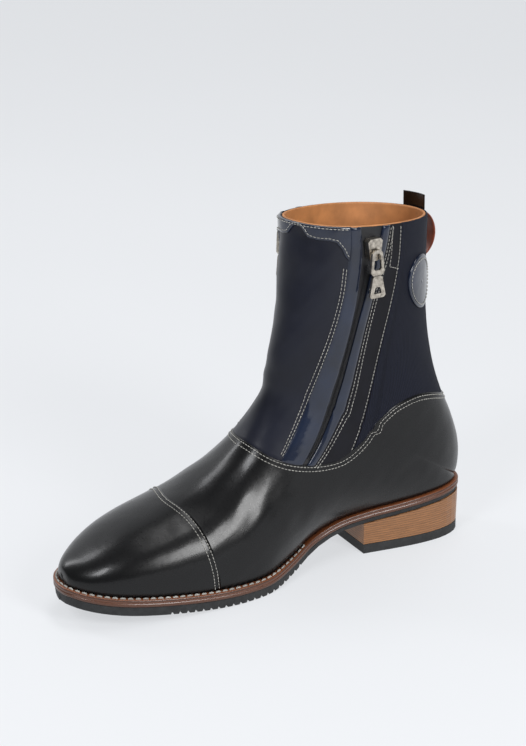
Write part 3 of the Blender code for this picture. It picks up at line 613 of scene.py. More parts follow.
def waxed_thread():
    """Waxed linen thread: pale grey, a little darker where it was handled."""
    return plain("waxed_linen_thread", (9, 3), chosen("thread", .6), chosen("thread", 1.05),
                 (.25, 2), .05, .5, Roughness=.6)


def lining_leather():
    """Undyed lining leather: warm tan with a soft mottle, the tan set a little darker than the
    leather's own as painted shade inside the boot.
    """
    return plain("undyed_lining_leather", (14, 4), chosen("lining", .8), chosen("lining", 1.25),
                 (.7, 3), .05, .4, Roughness=.58)


def zip_cloth():
    """Black woven tape and nylon teeth of the zip."""
    return plain("black_nylon_zip", (.6, 2), linear("#08080a"), linear("#15151a"),
                 (.4, 2), .06, .6, Roughness=.5)


def old_nickel():
    """Antique nickel: bright on the worn faces, darker and rougher in patches."""
    material, tree, shader, here = new_material("antique_nickel")
    cloud = add(tree, "TexNoise", features(here, 2.4, 4))
    tones = (.3, linear("#8a837a")), (.65, linear("#d0c8bb"))
    join(tree, shader, Base_Color=add(tree, "ValToRGB", {"Fac": cloud}, stops=tones), Metallic=1.0,
         Roughness=add(tree, "MapRange", between(cloud, .38, .2)),
         Normal=relief(tree, features(here, .8, 2), .02, .4))
    return material


def waxed_loop():
    """Waxed red-brown leather of the pull loop."""
    return plain("waxed_brown_leather", (6, 4), chosen("loop", .7), chosen("loop", 1.3),
                 (.6, 3), .05, .5, Roughness=.45, Coat_Weight=.1)


def burnished_welt():
    """Burnished welt edge in red-brown: lighter on its top face, a dark line high on the edge, darker
    in the groove and towards the bottom, wax gloss.
    """
    material, tree, shader, here = new_material("burnished_welt_leather")
    flat = add(tree, "UVMap", uv_map="millimetres")
    depth = add(tree, "SeparateXYZ", {"Vector": flat}, "Y")
    squeezed = add(tree, "VectorMath", {0: here, 1: (1, 1, 9)}, operation="MULTIPLY")
    fibres = add(tree, "TexNoise", features(squeezed, 2.5, 5, .65))
    band = add(tree, "MapRange", {"Value": depth, "From Min": 0.0, "From Max": 9.5})
    drift = add(tree, "Math", {0: fibres, 1: .12, 2: band}, operation="MULTIPLY_ADD")
    # Along the profile: lighter on the top face, a dark line high on the edge, then darker down
    # through the groove to the bottom
    tones = ((.0, .75), (.42, 1.25), (.56, .18), (.64, .8), (1.0, .45))
    welt_edge_tones = add(tree, "ValToRGB", {"Fac": drift},
                stops=[(at, chosen("welt", tone)) for at, tone in tones])
    join(tree, shader, Base_Color=welt_edge_tones, Roughness=add(tree, "MapRange", between(fibres, .28, .5)),
         Normal=relief(tree, fibres, .06, .5), Coat_Weight=.25, Coat_Roughness=.25)
    return material


def moulded_rubber():
    """Moulded rubber: charcoal, dull, with dust-grey scuffs."""
    material, tree, shader, here = new_material("moulded_sole_rubber")
    scuff = add(tree, "TexNoise", features(here, 5, 5, .7))
    tones = (.35, linear("#141516")), (.7, linear("#2a2b2c"))
    join(tree, shader, Base_Color=add(tree, "ValToRGB", {"Fac": scuff}, stops=tones),
         Roughness=add(tree, "MapRange", between(scuff, .55, .8)),
         Normal=relief(tree, features(here, .5, 3), .05, .5))
    return material


def heel_stack():
    """Stacked leather heel: fine dark joints between its lifts, waxed amber, streaked along."""
    material, tree, shader, here = new_material("stacked_heel_leather")
    height = add(tree, "SeparateXYZ", {"Vector": here}, "Z")
    long_grain = add(tree, "VectorMath", {0: here, 1: (.18, .18, 3.2)}, operation="MULTIPLY")
    streak = add(tree, "TexNoise", features(long_grain, 1.6, 6, .7))
    sway = add(tree, "TexNoise", features(here, 9, 2))
    wander = add(tree, "Math", {0: sway, 1: .9*MM, 2: height}, operation="MULTIPLY_ADD")
    lift = wave(tree, wander, 1.55*MM)
    joint = add(tree, "MapRange", {"Value": lift, "From Min": .55, "From Max": 1.0})
    tones = ((.25, .62), (.5, 1.0), (.75, 1.5))
    base = add(tree, "ValToRGB", {"Fac": streak},
               stops=[(at, chosen("stack", tone)) for at, tone in tones])
    tint = add(tree, "Mix", {"Factor": joint, 6: base, 7: chosen("stack", .45)}, 2, data_type="RGBA")
    groove = relief(tree, joint, -.06, .8)
    join(tree, shader, Base_Color=tint, Roughness=add(tree, "MapRange", between(streak, .36, .52)),
         Normal=relief(tree, streak, .05, .4, groove), Coat_Weight=.12)
    return material


def studio_paper():
    """Backdrop paper lit through from behind, so it stays an even pale grey far from the lamps."""
    material, tree, shader, here = new_material("backdrop_paper")
    join(tree, shader,
         Base_Color=clouded(tree, features(here, 900, 2), chosen("paper", .26), chosen("paper", .28)),
         Roughness=.8, Emission_Color=chosen("paper"), Emission_Strength=.82)
    return material


MAKERS = {
    "calf": polished_calf, "panel": waxed_panel, "patent": patent, "strip": grey_strip,
    "elastic": ribbed_elastic, "thread": waxed_thread, "lining": lining_leather,
    "zip_tape": zip_cloth, "nickel": old_nickel, "loop": waxed_loop, "welt": burnished_welt,
    "rubber": moulded_rubber, "stack": heel_stack, "paper": studio_paper,
}
made = {}


def material_for(name):
    """A material by its name, made once."""
    if name not in made:
        made[name] = MAKERS[name]()
    return made[name]


# Pieces of the upper

def puckers(row, share, depth=.12):
    """Small hollows and swells of drawn leather, in mm."""
    point = read_grid(LAST, row, share)
    x, s, z = point[..., 0], point[..., 1], point[..., 2]
    slow = np.sin(s*.21 + 2.2*np.sin(z*.07)) * np.sin(z*.17 + x*.09 + 1.3)
    quick = np.sin(s*.43 + z*.31) * np.sin(x*.37 - z*.23)
    return depth*(slow + .45*quick)


# Soft folds of the vamp and quarters: where each starts and ends, its depth and half width in mm.
FOLD_COLUMNS = ("row_a", "share_a", "row_b", "share_b", "depth", "reach")
FOLDS = (
    (9.4, .20, 10.6, .36, .28, 5.5),
    (10.1, .14, 11.2, .30, .25, 5.0),
    (11.4, .10, 12.2, .22, .45, 4.5),
    (9.7, .66, 10.8, .80, .40, 4.5),
    (10.9, .70, 11.8, .86, .45, 4.0),
    (16.5, .10, 18.2, .16, .35, 5.0),
    (16.8, .84, 18.3, .90, .35, 5.0),
)


def folds(row, share):
    """Depth in mm of the vamp's folds at points of the surface."""
    total = np.zeros(np.shape(row))
    for fold in FOLDS:
        f = dict(zip(FOLD_COLUMNS, fold))
        a = np.array((f["row_a"]*ROW_MM, f["share_a"]*GIRTH_MM))
        b = np.array((f["row_b"]*ROW_MM, f["share_b"]*GIRTH_MM))
        here = np.stack([row*ROW_MM, share*GIRTH_MM], -1) - a
        t = np.clip((here @ (b - a))/np.dot(b - a, b - a), 0, 1)
        far = np.linalg.norm(here - t[..., None]*(b - a), axis=-1)/f["reach"]
        swell = f["depth"]*np.sin(np.pi*np.clip(t, .04, .96))
        total += swell*(.4*np.exp(-(far - 1.8)**2*2) - np.exp(-far**2))
    return total


def build_foot_leather():
    """Vamp and quarters with their soft folds, up to the shaft seam."""
    rows, shares = shifted(*seam_line(150), FOOT_LAP)
    shares[0] = BACK_SEAM
    run = np.linspace(0, 1, len(rows))
    crowded = run - .25*np.sin(2*np.pi*run)/(2*np.pi)
    starts = np.maximum(.5*crowded**1.25, BACK_SEAM)
    first = np.interp(starts, CAP_EDGE[:, 1], CAP_EDGE[:, 0]) - CAP_LAP_ROWS
    steps = edge_steps(90, .004)[:, None]
    row, share = both_halves(first + (rows - first)*steps, starts + (shares - starts)*steps**2)
    height = puckers(row, share, .1) + bpy.context.scene.boot_sizes.folds*folds(row, share)
    fade = ease(0, .05, np.minimum(share, 1 - share)) * ease(0, .06, 1 - steps)
    patch("foot_leather_skin", row, share, height*fade, "calf", replaces="foot_leather")
    lines = []
    for inset in FOOT_ROWS:
        rows, shares = (smoothed(line) for line in shifted(*seam_line(300), inset))
        lines += [sewn_line(rows, on_side(shares, side)) for side in SIDES]
    stitches("seam_stitches", lines, **sewing())


def build_toe_cap():
    """Toe cap over the vamp, with two rows of stitches along its edge."""
    shares = edge_steps(120, .004)
    mirror = np.minimum(shares, 1 - shares)
    edge = np.interp(mirror, CAP_EDGE[:, 1], CAP_EDGE[:, 0])
    steps = np.r_[0, np.linspace(.01, .985, 80), 1][:, None]
    row, share = np.broadcast_arrays(edge*steps, shares)
    height = CAP_RAISE*ease(0, .12, steps) + puckers(row, share, .05)*ease(0, .1, mirror)
    patch("toe_cap_skin", row, share, height, "calf", depth=CAP_DEPTH, replaces="toe_cap")
    tip = surface(np.zeros(len(shares)), shares, np.full(len(shares), -.25))
    inwards = np.array((0, .25, .5, .75, .97))[:, None, None]
    nose = tip + (tip.mean(axis=0) - tip)*inwards
    nose[..., 1] += NOSE_BULGE*(1 - (1 - inwards[..., 0])**2)
    points = nose.reshape(-1, 3)
    faces = quads(*nose.shape[:2], wrap=True) + [list(range(len(points) - len(shares), len(points)))]
    make_object("toe_cap_nose", points, faces, "calf", facing=(0, 1, 0))
    along = np.linspace(.012, .988, 300)
    edge = np.interp(np.minimum(along, 1 - along), CAP_EDGE[:, 1], CAP_EDGE[:, 0])
    lines = [sewn_line(*shifted(edge, along, inset), height=CAP_RAISE) for inset in CAP_ROWS]
    stitches("toe_cap_stitches", lines, **sewing())


def shaft_grid(left, right, columns):
    """Grid between two shaft lines, from the foot leather's seam to the collar."""
    bottom = [seam_crossing(lambda r, k=k: left(r)*(1 - k) + right(r)*k) for k in columns]
    t = edge_steps(90, .006)[:, None]
    row = np.array(bottom)*(1 - t) + COLLAR*t
    share = left(row)*(1 - columns) + right(row)*columns
    return row, share


def build_front_panel():
    """Front of the shaft between the patent facings."""
    columns = edge_steps(70, .006)
    row, share = both_halves(*shaft_grid(shaft_line("panel"), lambda r: np.full(np.shape(r), .5),
                                         columns[columns <= .5]*2))
    height = -.1 + puckers(row, share, .22)*ease(10.5, 14, row)
    patch("front_panel_skin", row, share, height, "panel", replaces="front_panel")


def build_facings():
    """Patent facings before the zips, patent piping behind them, the grey strips and their rows."""
    lines = []
    for side in SIDES:
        columns = edge_steps(18, .03)
        row, share = shaft_grid(shaft_line("zip_front"), shaft_line("panel", FACING_LAP), columns)
        crown = PATENT_RAISE + .95*np.sin(np.pi*columns**.8)**.7 - 1.1*ease(.8, 1, columns)
        height = crown*(.75 + .25*ease(12, 15, row)) + puckers(row, share, .13)
        patch(f"facing_{side}_skin", row, on_side(share, side), height, "patent",
              replaces="facing_" + side)
        columns = edge_steps(12, .05)
        row, share = shaft_grid(shaft_line("zip_rear", -PIPING),
                                shaft_line("zip_rear", PIPING_LAP), columns)
        height = .5 + .9*np.sin(np.pi*columns)**.6 + puckers(row, share, .08)
        patch("piping_" + side, row, on_side(share, side), height, "patent")
        row, share = shaft_grid(shaft_line("elastic", .3), shaft_line("zip_rear", .3 - PIPING),
                                edge_steps(26, .02))
        patch(f"rear_strip_{side}_skin", row, on_side(share, side), puckers(row, share, .06),
              "strip", replaces="rear_strip_" + side)
        for name, insets, below in SHAFT_ROWS:
            rows = np.linspace(seam_crossing(shaft_line(name)) + .25, COLLAR - below, 200)
            lines += [sewn_line(rows, on_side(shaft_line(name, inset)(rows), side), -.05)
                      for inset in insets]
        rows = np.linspace(STRIP_TOP_ROW, COLLAR - .05, 30)
        lines.append(sewn_line(rows, on_side(shaft_line("elastic", STRIP_TOP_MM)(rows), side)))
        start = float(line_at("elastic", STRIP_TOP_ROW))
        share = np.linspace(start, start + STRIP_TOP_MM/GIRTH_MM, 20)
        lines.append(sewn_line(np.full(20, STRIP_TOP_ROW), on_side(share, side)))
    stitches("shaft_stitches", lines, **sewing())


def build_elastic():
    """Ribbed elastic round the back of the shaft."""
    columns = edge_steps(120, .003)
    row, share = both_halves(*shaft_grid(shaft_line("elastic", -.1), lambda r: np.zeros(np.shape(r)),
                                         columns[columns <= .5]*2), turn=0)
    patch("elastic_skin", row, share, ELASTIC_SINK + puckers(row, share, .05), "elastic",
          replaces="elastic")


def scallop_row(share):
    """Row of the collar piece's scalloped lower edge."""
    mirror = np.minimum(share, 1 - share)
    depth = np.interp(-mirror, -COLLAR_DEPTH[:, 0], COLLAR_DEPTH[:, 1])
    top, low = read_grid(LAST, COLLAR - .01, share), read_grid(LAST, COLLAR - 1.0, share)
    return COLLAR - depth/(top[..., 2] - low[..., 2])


def build_collar_piece():
    """Patent collar piece with its scalloped lower edge and the rows that hold it."""
    shares = np.unique(np.r_[np.linspace(.384, .616, 110), .5])
    low = scallop_row(shares)
    steps = edge_steps(22, .03)[:, None]
    row = low + (COLLAR - low)*steps
    share = np.broadcast_to(shares, row.shape)
    height = .75 + .35*np.sin(np.pi*steps)**.5 + puckers(row, share, .15)
    patch("collar_piece_skin", row, share, height, "patent", replaces="collar_piece")
    inner = shares[3:-3]
    lines = [sewn_line(*shifted(scallop_row(inner), inner, COLLAR_ROW), height=1.1),
             sewn_line(np.full(len(inner), COLLAR - .16), inner, height=1.1)]
    stitches("collar_stitches", lines, **sewing())


def build_lining():
    """Lining wall with a rolled rim at the collar."""
    rows = np.r_[np.linspace(0, COLLAR - .05, 110), COLLAR]
    shares = np.linspace(0, 1, 141)
    row, share = np.meshgrid(rows, shares, indexing="ij")
    sheets = [surface(row, share, np.full(row.shape, height))
              for height in (LINING_OUT, (LINING_OUT + LINING_IN)/2, LINING_IN)]
    rim = sheets[1][-1] + (0, 0, .35)
    points = np.concatenate([sheets[0], rim[None], sheets[2][::-1]])
    make_object("lining_skin", points.reshape(-1, 3), quads(*points.shape[:2]), "lining",
                facing=(0, 0, 1), replaces="upper")


def patch_ring(radius, turns):
    """Rows and shares of a circle round the patch's middle."""
    return PATCH_ROW + radius*np.sin(turns)/PATCH_ROW_MM, PATCH_SHARE + radius*np.cos(turns)/GIRTH_MM


def build_patches():
    """Domed patent patches on the elastic, each with a stitched rim."""
    lines = []
    turns = np.linspace(0, 2*np.pi, 61)[:-1]
    radii = np.r_[0.02, np.linspace(.1, .95, 14), .985, 1, 1]
    for side in SIDES:
        row, share = patch_ring(radii[:, None]*PATCH_RADIUS, turns)
        height = ELASTIC_SINK + PATCH_STAND + PATCH_DOME*(1 - radii**4)
        height[-2] -= .35
        height[-1] = ELASTIC_SINK + .1
        height = height[:, None] + puckers(row, share, .06)*(radii < 1)[:, None]
        points = surface(row, on_side(share, side), height).reshape(-1, 3)
        faces = quads(len(radii), len(turns), wrap=True) + [list(range(len(turns)))]
        normal = normal_at(PATCH_ROW, on_side(PATCH_SHARE, side))
        make_object(f"patch_{side}_skin", points, faces, "patent", normal, replaces="patch_" + side)
        row, share = patch_ring(PATCH_SEWN*PATCH_RADIUS, np.append(turns, turns[:1]))
        lines.append(sewn_line(row, on_side(share, side), height=ELASTIC_SINK + 1.6))
    stitches("patch_stitches", lines, **sewing())


def strap(name, rows, stand, half_width, thick, look, replaces, rise=None, middle=0.0):
    """Bent strap at the back: its middle line by row and height, with rounded edges."""
    across = np.array((-1, -.97, -.9, -.6, 0, .6, .9, .97, 1))
    round_off = np.sqrt(np.maximum(1 - np.abs(across)**10, 0))
    sheets = []
    for sign in (1, -1):
        h = stand[:, None] + thick/2 + sign*thick/2*round_off
        share = middle + across*half_width/GIRTH_MM
        points = surface(np.broadcast_to(rows[:, None], h.shape), np.broadcast_to(share, h.shape), h)
        if rise is not None:
            points[..., 2] += rise[:, None]
        sheets.append(points)
    ring = np.concatenate([sheets[0], sheets[1][:, ::-1]], axis=1)
    count = ring.shape[1]
    ends = [list(range(count)), list(range((len(rows) - 1)*count, len(rows)*count))[::-1]]
    faces = quads(len(rows), count, wrap=True) + ends
    make_object(name, ring.reshape(-1, 3), faces, look, facing=(0, -1, 0), replaces=replaces)


def build_back():
    """Brown pull loop and the black tab folded over the collar."""
    t = np.linspace(0, 1, 60)
    top = COLLAR - .12
    rows = top - (1 - t)
    stand = ELASTIC_SINK + .3 + LOOP_STAND*np.sin(np.pi*t)**.6
    strap("pull_loop_skin", rows, stand, LOOP_HALF, LOOP_THICK, "loop", "pull_loop")
    t = np.linspace(0, 1, 30)
    rows = np.minimum(COLLAR - .11 + .3*t, COLLAR)
    rise = np.maximum(t - .37, 0)/.63*TAB_RISE
    strap("back_tab_skin", rows, np.full(30, ELASTIC_SINK + .3), TAB_HALF, TAB_THICK, "calf",
          "back_tab", rise, TAB_SHARE)


TOOTH_FACES = ((0, 1, 2, 3), (7, 6, 5, 4), (0, 4, 5, 1), (1, 5, 6, 2), (2, 6, 7, 3), (3, 7, 4, 0))


def build_zips():
    """Sunk tape, and interlocked teeth along it from the seam up to the slider."""
    for side in SIDES:
        row, share = shaft_grid(shaft_line("zip_rear", -TAPE_LAP), shaft_line("zip_front", TAPE_LAP),
                                edge_steps(9, .1))
        patch(f"zip_{side}_skin", row, on_side(share, side), -.45, "zip_tape", depth=.4, roll=0.0,
              replaces="zip_" + side)
        points, faces = [], []
        rows = np.linspace(seam_crossing(shaft_line("zip_rear")) + .3, ZIP_TOP_ROW, 1200)
        middle = (line_at("zip_front", rows) + line_at("zip_rear", rows))/2
        line, normals = sewn_line(rows, on_side(middle, side), height=-.25)
        run = run_along(line)
        for k, spot in enumerate(np.arange(.6, run[-1], TOOTH_PITCH)):
            at, soon, up = (read_line(spot + d, run, values)
                            for d, values in ((0, line), (.5, line), (0, normals)))
            ahead = (soon - at)/np.linalg.norm(soon - at)
            across = np.cross(up, ahead)
            shift = TOOTH_SHIFT if k % 2 else -TOOTH_SHIFT
            first = len(points)
            for a in (-1, 1):
                for b, h in ((-.28, 0), (-.2, .75), (.2, .75), (.28, 0)):
                    points.append(at + across*(a*(1.0 - .2*h) + shift) + ahead*b + up*h)
            faces += [[first + i for i in f] for f in TOOTH_FACES]
        make_object("zip_teeth_" + side, np.array(points), faces, "zip_tape",
                    replaces="zip_coil_" + side)


# Sole

def sole_outline(out):
    """Closed outline of the feather line moved out by out(s) mm, as (x, s) points."""
    rows = np.linspace(HEEL_SEAT, 0, 400)
    table = smooth_rows(SECTIONS, rows)
    loop = np.concatenate([table[:, [4, 0]], (table[:, [5, 0]]*(-1, 1))[::-1]])
    step = np.roll(loop, -1, axis=0) - np.roll(loop, 1, axis=0)
    normal = np.stack([step[:, 1], -step[:, 0]], -1)
    normal /= np.maximum(np.linalg.norm(normal, axis=1), 1e-9)[:, None]
    loop = loop + normal*out(loop[:, 1])[:, None]
    closed = np.vstack([loop, loop[:1]])
    run = run_along(closed)
    return read_line(np.linspace(0, run[-1], 521)[:-1], run, closed)


def ledge(extra):
    """How far the welt stands out past the feather line, and extra mm, as a function of s."""
    return lambda s: extra + LEDGE_HEEL + (LEDGE_FRONT - LEDGE_HEEL)*ease(BREAST, BALL, s)


WELT_COLUMNS = ("out", "down", "across")
WELT_PROFILE = (        # mm out from the ledge, mm below the welt's top, and mm along the profile
    (-9.0, 0.0, -9.0), (-1.0, 0.0, -1.0), (-.35, .08, -.4), (-.08, .35, .2), (0.0, .8, .7),
    (0.0, 1.7, 1.7), (-.05, 2.1, 2.2), (-.4, 2.3, 2.6), (-.4, 2.5, 2.8), (-.05, 2.7, 3.2),
    (0.0, 3.1, 3.6), (0.0, 4.2, 4.7), (-.1, 4.55, 5.1), (-.5, 4.7, 5.6), (-9.0, 4.7, 14.0),
)


def build_welt():
    """Welt with a grooved edge, and its row of thick stitches."""
    rings, uvs = [], []
    for entry in WELT_PROFILE:
        p = dict(zip(WELT_COLUMNS, entry))
        loop = sole_outline(ledge(p["out"]))
        rings.append(np.column_stack([loop, feather_height(loop[:, 1]) - WELT_GAP - p["down"]]))
        uvs.append(np.column_stack([np.arange(len(loop))*1.2, np.full(len(loop), p["across"] + 4.0)]))
    faces = quads(len(rings), len(rings[0]), wrap=True)
    flat = np.concatenate(rings)
    direction = (np.sign(flat[faces[len(faces)//2][0]][0] or 1), 0, 0)
    make_object("welt_skin", flat, faces, "welt", direction, np.concatenate(uvs), "welt")
    loop = sole_outline(ledge(WELT_ROW))
    loop = np.roll(loop, -int(np.argmax(loop[:, 1] <= WELT_SEWN_FROM)), axis=0)
    loop = loop[loop[:, 1] > WELT_SEWN_FROM]
    line = np.column_stack([loop, feather_height(loop[:, 1]) - WELT_GAP])
    upwards = np.tile((0., 0., 1.), (len(line), 1))
    stitches("welt_stitches", [(line, upwards)], lift=.3, **sewing("welt"))


CARRIED = {     # CAD nodes that keep their shape: material, and the bevel's width in mm
    "outsole": ("rubber", .35), "top_lift": ("rubber", .5), "heel_stack": ("stack", .4),
    "insole": ("lining", .6),
    "slider_medial": ("nickel", .6), "slider_lateral": ("nickel", .6),
    "pull_link_medial": ("nickel", .45), "pull_link_lateral": ("nickel", .45),
    "pull_tab_medial": ("nickel", .4), "pull_tab_lateral": ("nickel", .4),
}


def dress_carried():
    """Materials, and bevels on the hard edges, of the CAD nodes that are shown as they are."""
    for name, (material, width) in CARRIED.items():
        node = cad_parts[name]
        node.data.materials.clear()
        node.data.materials.append(material_for(material))
        bevel = node.modifiers.new("edge", "BEVEL")
        bevel.width = width*MM
        bevel.segments = 3
        bevel.limit_method = "ANGLE"
        bevel.angle_limit = np.radians(40)
        bevel.use_clamp_overlap = True


# Stage

def add_area(name, at, aim, size, watts, colour):
    """Rectangular lamp aimed at a point."""
    light = bpy.data.lights.new(name, "AREA")
    light.shape = "RECTANGLE"
    light.size, light.size_y = size
    light.energy = watts
    light.color = linear(colour)[:3]
    lamp = bpy.data.objects.new(name, light)
    lamp.location = at
    lamp.rotation_euler = (Vector(aim) - Vector(at)).to_track_quat("-Z", "Y").to_euler()
    bpy.context.scene.collection.objects.link(lamp)


LAMP_COLUMNS = ("name", "at", "size", "watts", "colour")
LAMPS = (
    ("window_side", (1.22, .20, .72), (.40, .62), 14, "#ffffff"),
    ("window_front", (.55, -1.12, 1.15), (.34, .5), 9, "#fbfcff"),
    ("window_far", (-1.3, -.9, 1.2), (.35, 1.1), 8, "#fbfcff"),
    ("ceiling", (.0, .2, 1.9), (1.4, .5), 14, "#ffffff"),
)


def build_stage():
    """Paper sweep, soft boxes and the fitted camera."""
    turn, pitch, roll = np.radians((CAMERA_TURN, CAMERA_PITCH, CAMERA_ROLL))
    right = np.array((np.cos(turn), np.sin(turn), 0))
    back = np.array((np.sin(turn)*np.cos(pitch), -np.cos(turn)*np.cos(pitch), np.sin(pitch)))
    up = np.cross(back, right)
    right, up = right*np.cos(roll) - up*np.sin(roll), right*np.sin(roll) + up*np.cos(roll)
    camera = bpy.data.cameras.new("camera")
    camera.lens = CAMERA_LENS
    camera.sensor_width = camera.sensor_height = 36
    camera.sensor_fit = "VERTICAL"
    eye = bpy.data.objects.new("camera", camera)
    eye.matrix_world = Matrix.Translation(Vector(CAMERA_AT)*MM) @ Matrix(
        (right.tolist(), up.tolist(), back.tolist())).transposed().to_4x4()
    scene = bpy.context.scene
    scene.collection.objects.link(eye)
    scene.camera = eye
    scene.view_settings.view_transform = "Standard"
    away = Vector((-back[0], -back[1], 0)).normalized()
    side = Vector((right[0], right[1], 0)).normalized()
    bend = np.linspace(0, np.pi/2, 25)
    curve = [(1.4 + SWEEP_BEND*np.sin(a), SWEEP_BEND*(1 - np.cos(a))) for a in bend]
    profile = [(-2.5, 0.0), *curve, (2.6, 4.5)]
    points = [away*d + side*w + Vector((0, 0, h - .0002)) for d, h in profile for w in (-4, 4)]
    mesh = bpy.data.meshes.new("paper_sweep")
    mesh.from_pydata([tuple(p) for p in points], [], quads(len(profile), 2))
    mesh.shade_smooth()
    mesh.materials.append(material_for("paper"))
    sweep = bpy.data.objects.new("paper_sweep", mesh)
    scene.collection.objects.link(sweep)
    world = bpy.data.worlds.new("studio")
    scene.world = world
    world.use_nodes = True
    world.node_tree.nodes["Background"].inputs["Color"].default_value = linear("#eef1f4")
    world.node_tree.nodes["Background"].inputs["Strength"].default_value = .25
    for entry in LAMPS:
        lamp = dict(zip(LAMP_COLUMNS, entry))
        add_area(lamp["name"], lamp["at"], LAMPS_AIM, lamp["size"],
                 lamp["watts"]*scene.boot_sizes.light, lamp["colour"])


# Settings

def colour(name, description, code):
    """Property for a linear colour whose default is an sRGB hex code."""
    return bpy.props.FloatVectorProperty(name=name, description=description, subtype="COLOR", size=3,
                                         min=0.0, max=1.0, default=linear(code)[:3])


def length(name, description, mm):
    """Property for a length whose default is in mm."""
    return bpy.props.FloatProperty(name=name, description=description, unit="LENGTH", min=.1*MM,
                                   default=mm*MM, precision=5)


class BootSizes(bpy.types.PropertyGroup):
    """Sizes of sewing and folds, and the strength of the light"""
    upper_pitch: length("Upper stitch pitch", "From one stitch of the upper to the next", 2.3)
    upper_thread: length("Upper thread", "Width of the upper's thread", .55)
    welt_pitch: length("Welt stitch pitch", "From one stitch of the welt to the next", 4.6)
    welt_thread: length("Welt thread", "Width of the welt's thread", 1.4)
    folds: bpy.props.FloatProperty(name="Folds", description="Times the depth of the foot's folds",
                                   subtype="FACTOR", min=0.0, soft_max=2.0, default=1.0)
    light: bpy.props.FloatProperty(name="Light", description="Times the power of every lamp",
                                   subtype="FACTOR", min=0.0, soft_max=2.0, default=1.0)


class BootColours(bpy.types.PropertyGroup):
    """Middle colours of the materials"""
    calf: colour("Calf", "Polished leather of the foot and the toe cap", "#050506")
    panel: colour("Panel", "Waxed leather of the shaft's front", "#0b0e1b")
    patent: colour("Patent", "Lacquered facings, piping, collar piece and patches", "#0c1629")
    strip: colour("Strip", "Short-napped strips behind the zips", "#0b0b12")
    elastic: colour("Elastic", "Woven elastic at the back", "#090d1c")
    # the tan is a little darker than the leather's own: painted shade inside the boot
    lining: colour("Lining", "Undyed leather inside", "#ab7344")
    thread: colour("Thread", "Thread of every seam", "#a3a19b")
    loop: colour("Loop", "Pull loop at the back", "#80402b")
    welt: colour("Welt", "Burnished edge above the rubber", "#6a3c22")
    stack: colour("Stack", "Stacked leather heel", "#8b5e38")
    paper: colour("Paper", "Backdrop", "#dcdee1")


# Operators

class BOOT_OT_lining(bpy.types.Operator):
    """Build the lining wall with its rolled rim"""
    bl_idname = "boot.lining"
    bl_label = "Lining"

    def execute(self, context):
        build_lining()
        return {"FINISHED"}


class BOOT_OT_foot_leather(bpy.types.Operator):
    """Build vamp and quarters with their folds and the seam's rows"""
    bl_idname = "boot.foot_leather"
    bl_label = "Foot leather"

    def execute(self, context):
        build_foot_leather()
        return {"FINISHED"}


class BOOT_OT_toe_cap(bpy.types.Operator):
    """Build the toe cap and its two rows of stitches"""
    bl_idname = "boot.toe_cap"
    bl_label = "Toe cap"

    def execute(self, context):
        build_toe_cap()
        return {"FINISHED"}


class BOOT_OT_front_panel(bpy.types.Operator):
    """Build the front of the shaft"""
    bl_idname = "boot.front_panel"
    bl_label = "Front panel"

    def execute(self, context):
        build_front_panel()
        return {"FINISHED"}


class BOOT_OT_facings(bpy.types.Operator):
    """Build the patent facings and piping, the strips and their stitches"""
    bl_idname = "boot.facings"
    bl_label = "Facings"

    def execute(self, context):
        build_facings()
        return {"FINISHED"}


class BOOT_OT_elastic(bpy.types.Operator):
    """Build the ribbed elastic"""
    bl_idname = "boot.elastic"
    bl_label = "Elastic"

    def execute(self, context):
        build_elastic()
        return {"FINISHED"}


class BOOT_OT_collar_piece(bpy.types.Operator):
    """Build the scalloped patent piece at the collar"""
    bl_idname = "boot.collar_piece"
    bl_label = "Collar piece"

    def execute(self, context):
        build_collar_piece()
        return {"FINISHED"}


class BOOT_OT_patches(bpy.types.Operator):
    """Build the round patent patches"""
    bl_idname = "boot.patches"
    bl_label = "Patches"

    def execute(self, context):
        build_patches()
        return {"FINISHED"}


class BOOT_OT_back(bpy.types.Operator):
    """Build the pull loop and the tab over the collar"""
    bl_idname = "boot.back"
    bl_label = "Loop and tab"

    def execute(self, context):
        build_back()
        return {"FINISHED"}


class BOOT_OT_zips(bpy.types.Operator):
    """Build the tape and the teeth of both zips"""
    bl_idname = "boot.zips"
    bl_label = "Zips"

    def execute(self, context):
        build_zips()
        return {"FINISHED"}


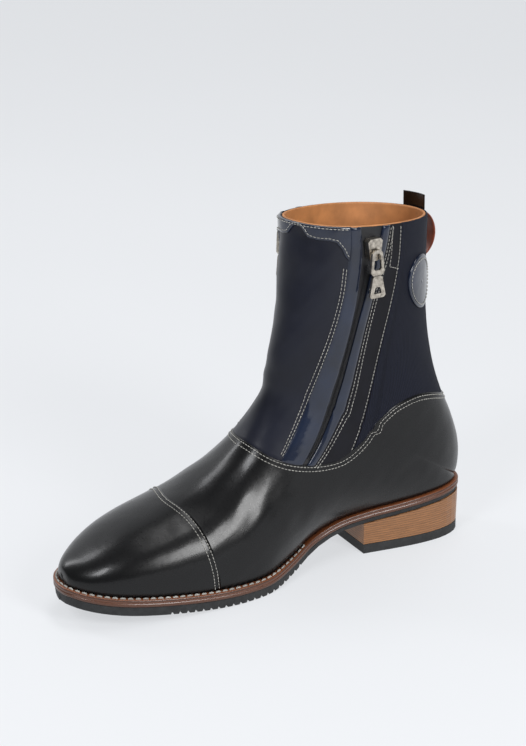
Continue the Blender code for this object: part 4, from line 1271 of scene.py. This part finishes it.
class BOOT_OT_welt(bpy.types.Operator):
    """Build the welt and its stitches"""
    bl_idname = "boot.welt"
    bl_label = "Welt"

    def execute(self, context):
        build_welt()
        return {"FINISHED"}


class BOOT_OT_carried(bpy.types.Operator):
    """Dress the CAD nodes that keep their shape"""
    bl_idname = "boot.carried"
    bl_label = "CAD pieces"

    def execute(self, context):
        dress_carried()
        return {"FINISHED"}


class BOOT_OT_stage(bpy.types.Operator):
    """Build the paper sweep, the lights and the camera"""
    bl_idname = "boot.stage"
    bl_label = "Stage"

    def execute(self, context):
        build_stage()
        return {"FINISHED"}


OPERATORS = (
    BOOT_OT_lining,
    BOOT_OT_foot_leather,
    BOOT_OT_toe_cap,
    BOOT_OT_front_panel,
    BOOT_OT_facings,
    BOOT_OT_elastic,
    BOOT_OT_collar_piece,
    BOOT_OT_patches,
    BOOT_OT_back,
    BOOT_OT_zips,
    BOOT_OT_welt,
    BOOT_OT_carried,
    BOOT_OT_stage,
)


class BOOT_PT_panel(bpy.types.Panel):
    """Settings, and a button for each group of pieces"""
    bl_idname = "BOOT_PT_panel"
    bl_label = "Paddock boot"
    bl_space_type = "VIEW_3D"
    bl_region_type = "UI"
    bl_category = "Boot"

    def draw(self, context):
        for settings in (context.scene.boot_sizes, context.scene.boot_colours):
            column = self.layout.column()
            for name in settings.bl_rna.properties.keys():
                if name not in ("rna_type", "name"):
                    column.prop(settings, name)
        for item in OPERATORS:
            self.layout.operator(item.bl_idname)


CLASSES = (BootSizes, BootColours, *OPERATORS, BOOT_PT_panel)


def register():
    for item in CLASSES:
        bpy.utils.register_class(item)
    bpy.types.Scene.boot_sizes = bpy.props.PointerProperty(type=BootSizes)
    bpy.types.Scene.boot_colours = bpy.props.PointerProperty(type=BootColours)


def unregister():
    del bpy.types.Scene.boot_sizes
    del bpy.types.Scene.boot_colours
    for item in reversed(CLASSES):
        bpy.utils.unregister_class(item)


def main():
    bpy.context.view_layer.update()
    register()
    for item in OPERATORS:
        getattr(bpy.ops.boot, item.bl_idname.split(".")[1])()


if __name__ == "__main__":
    main()
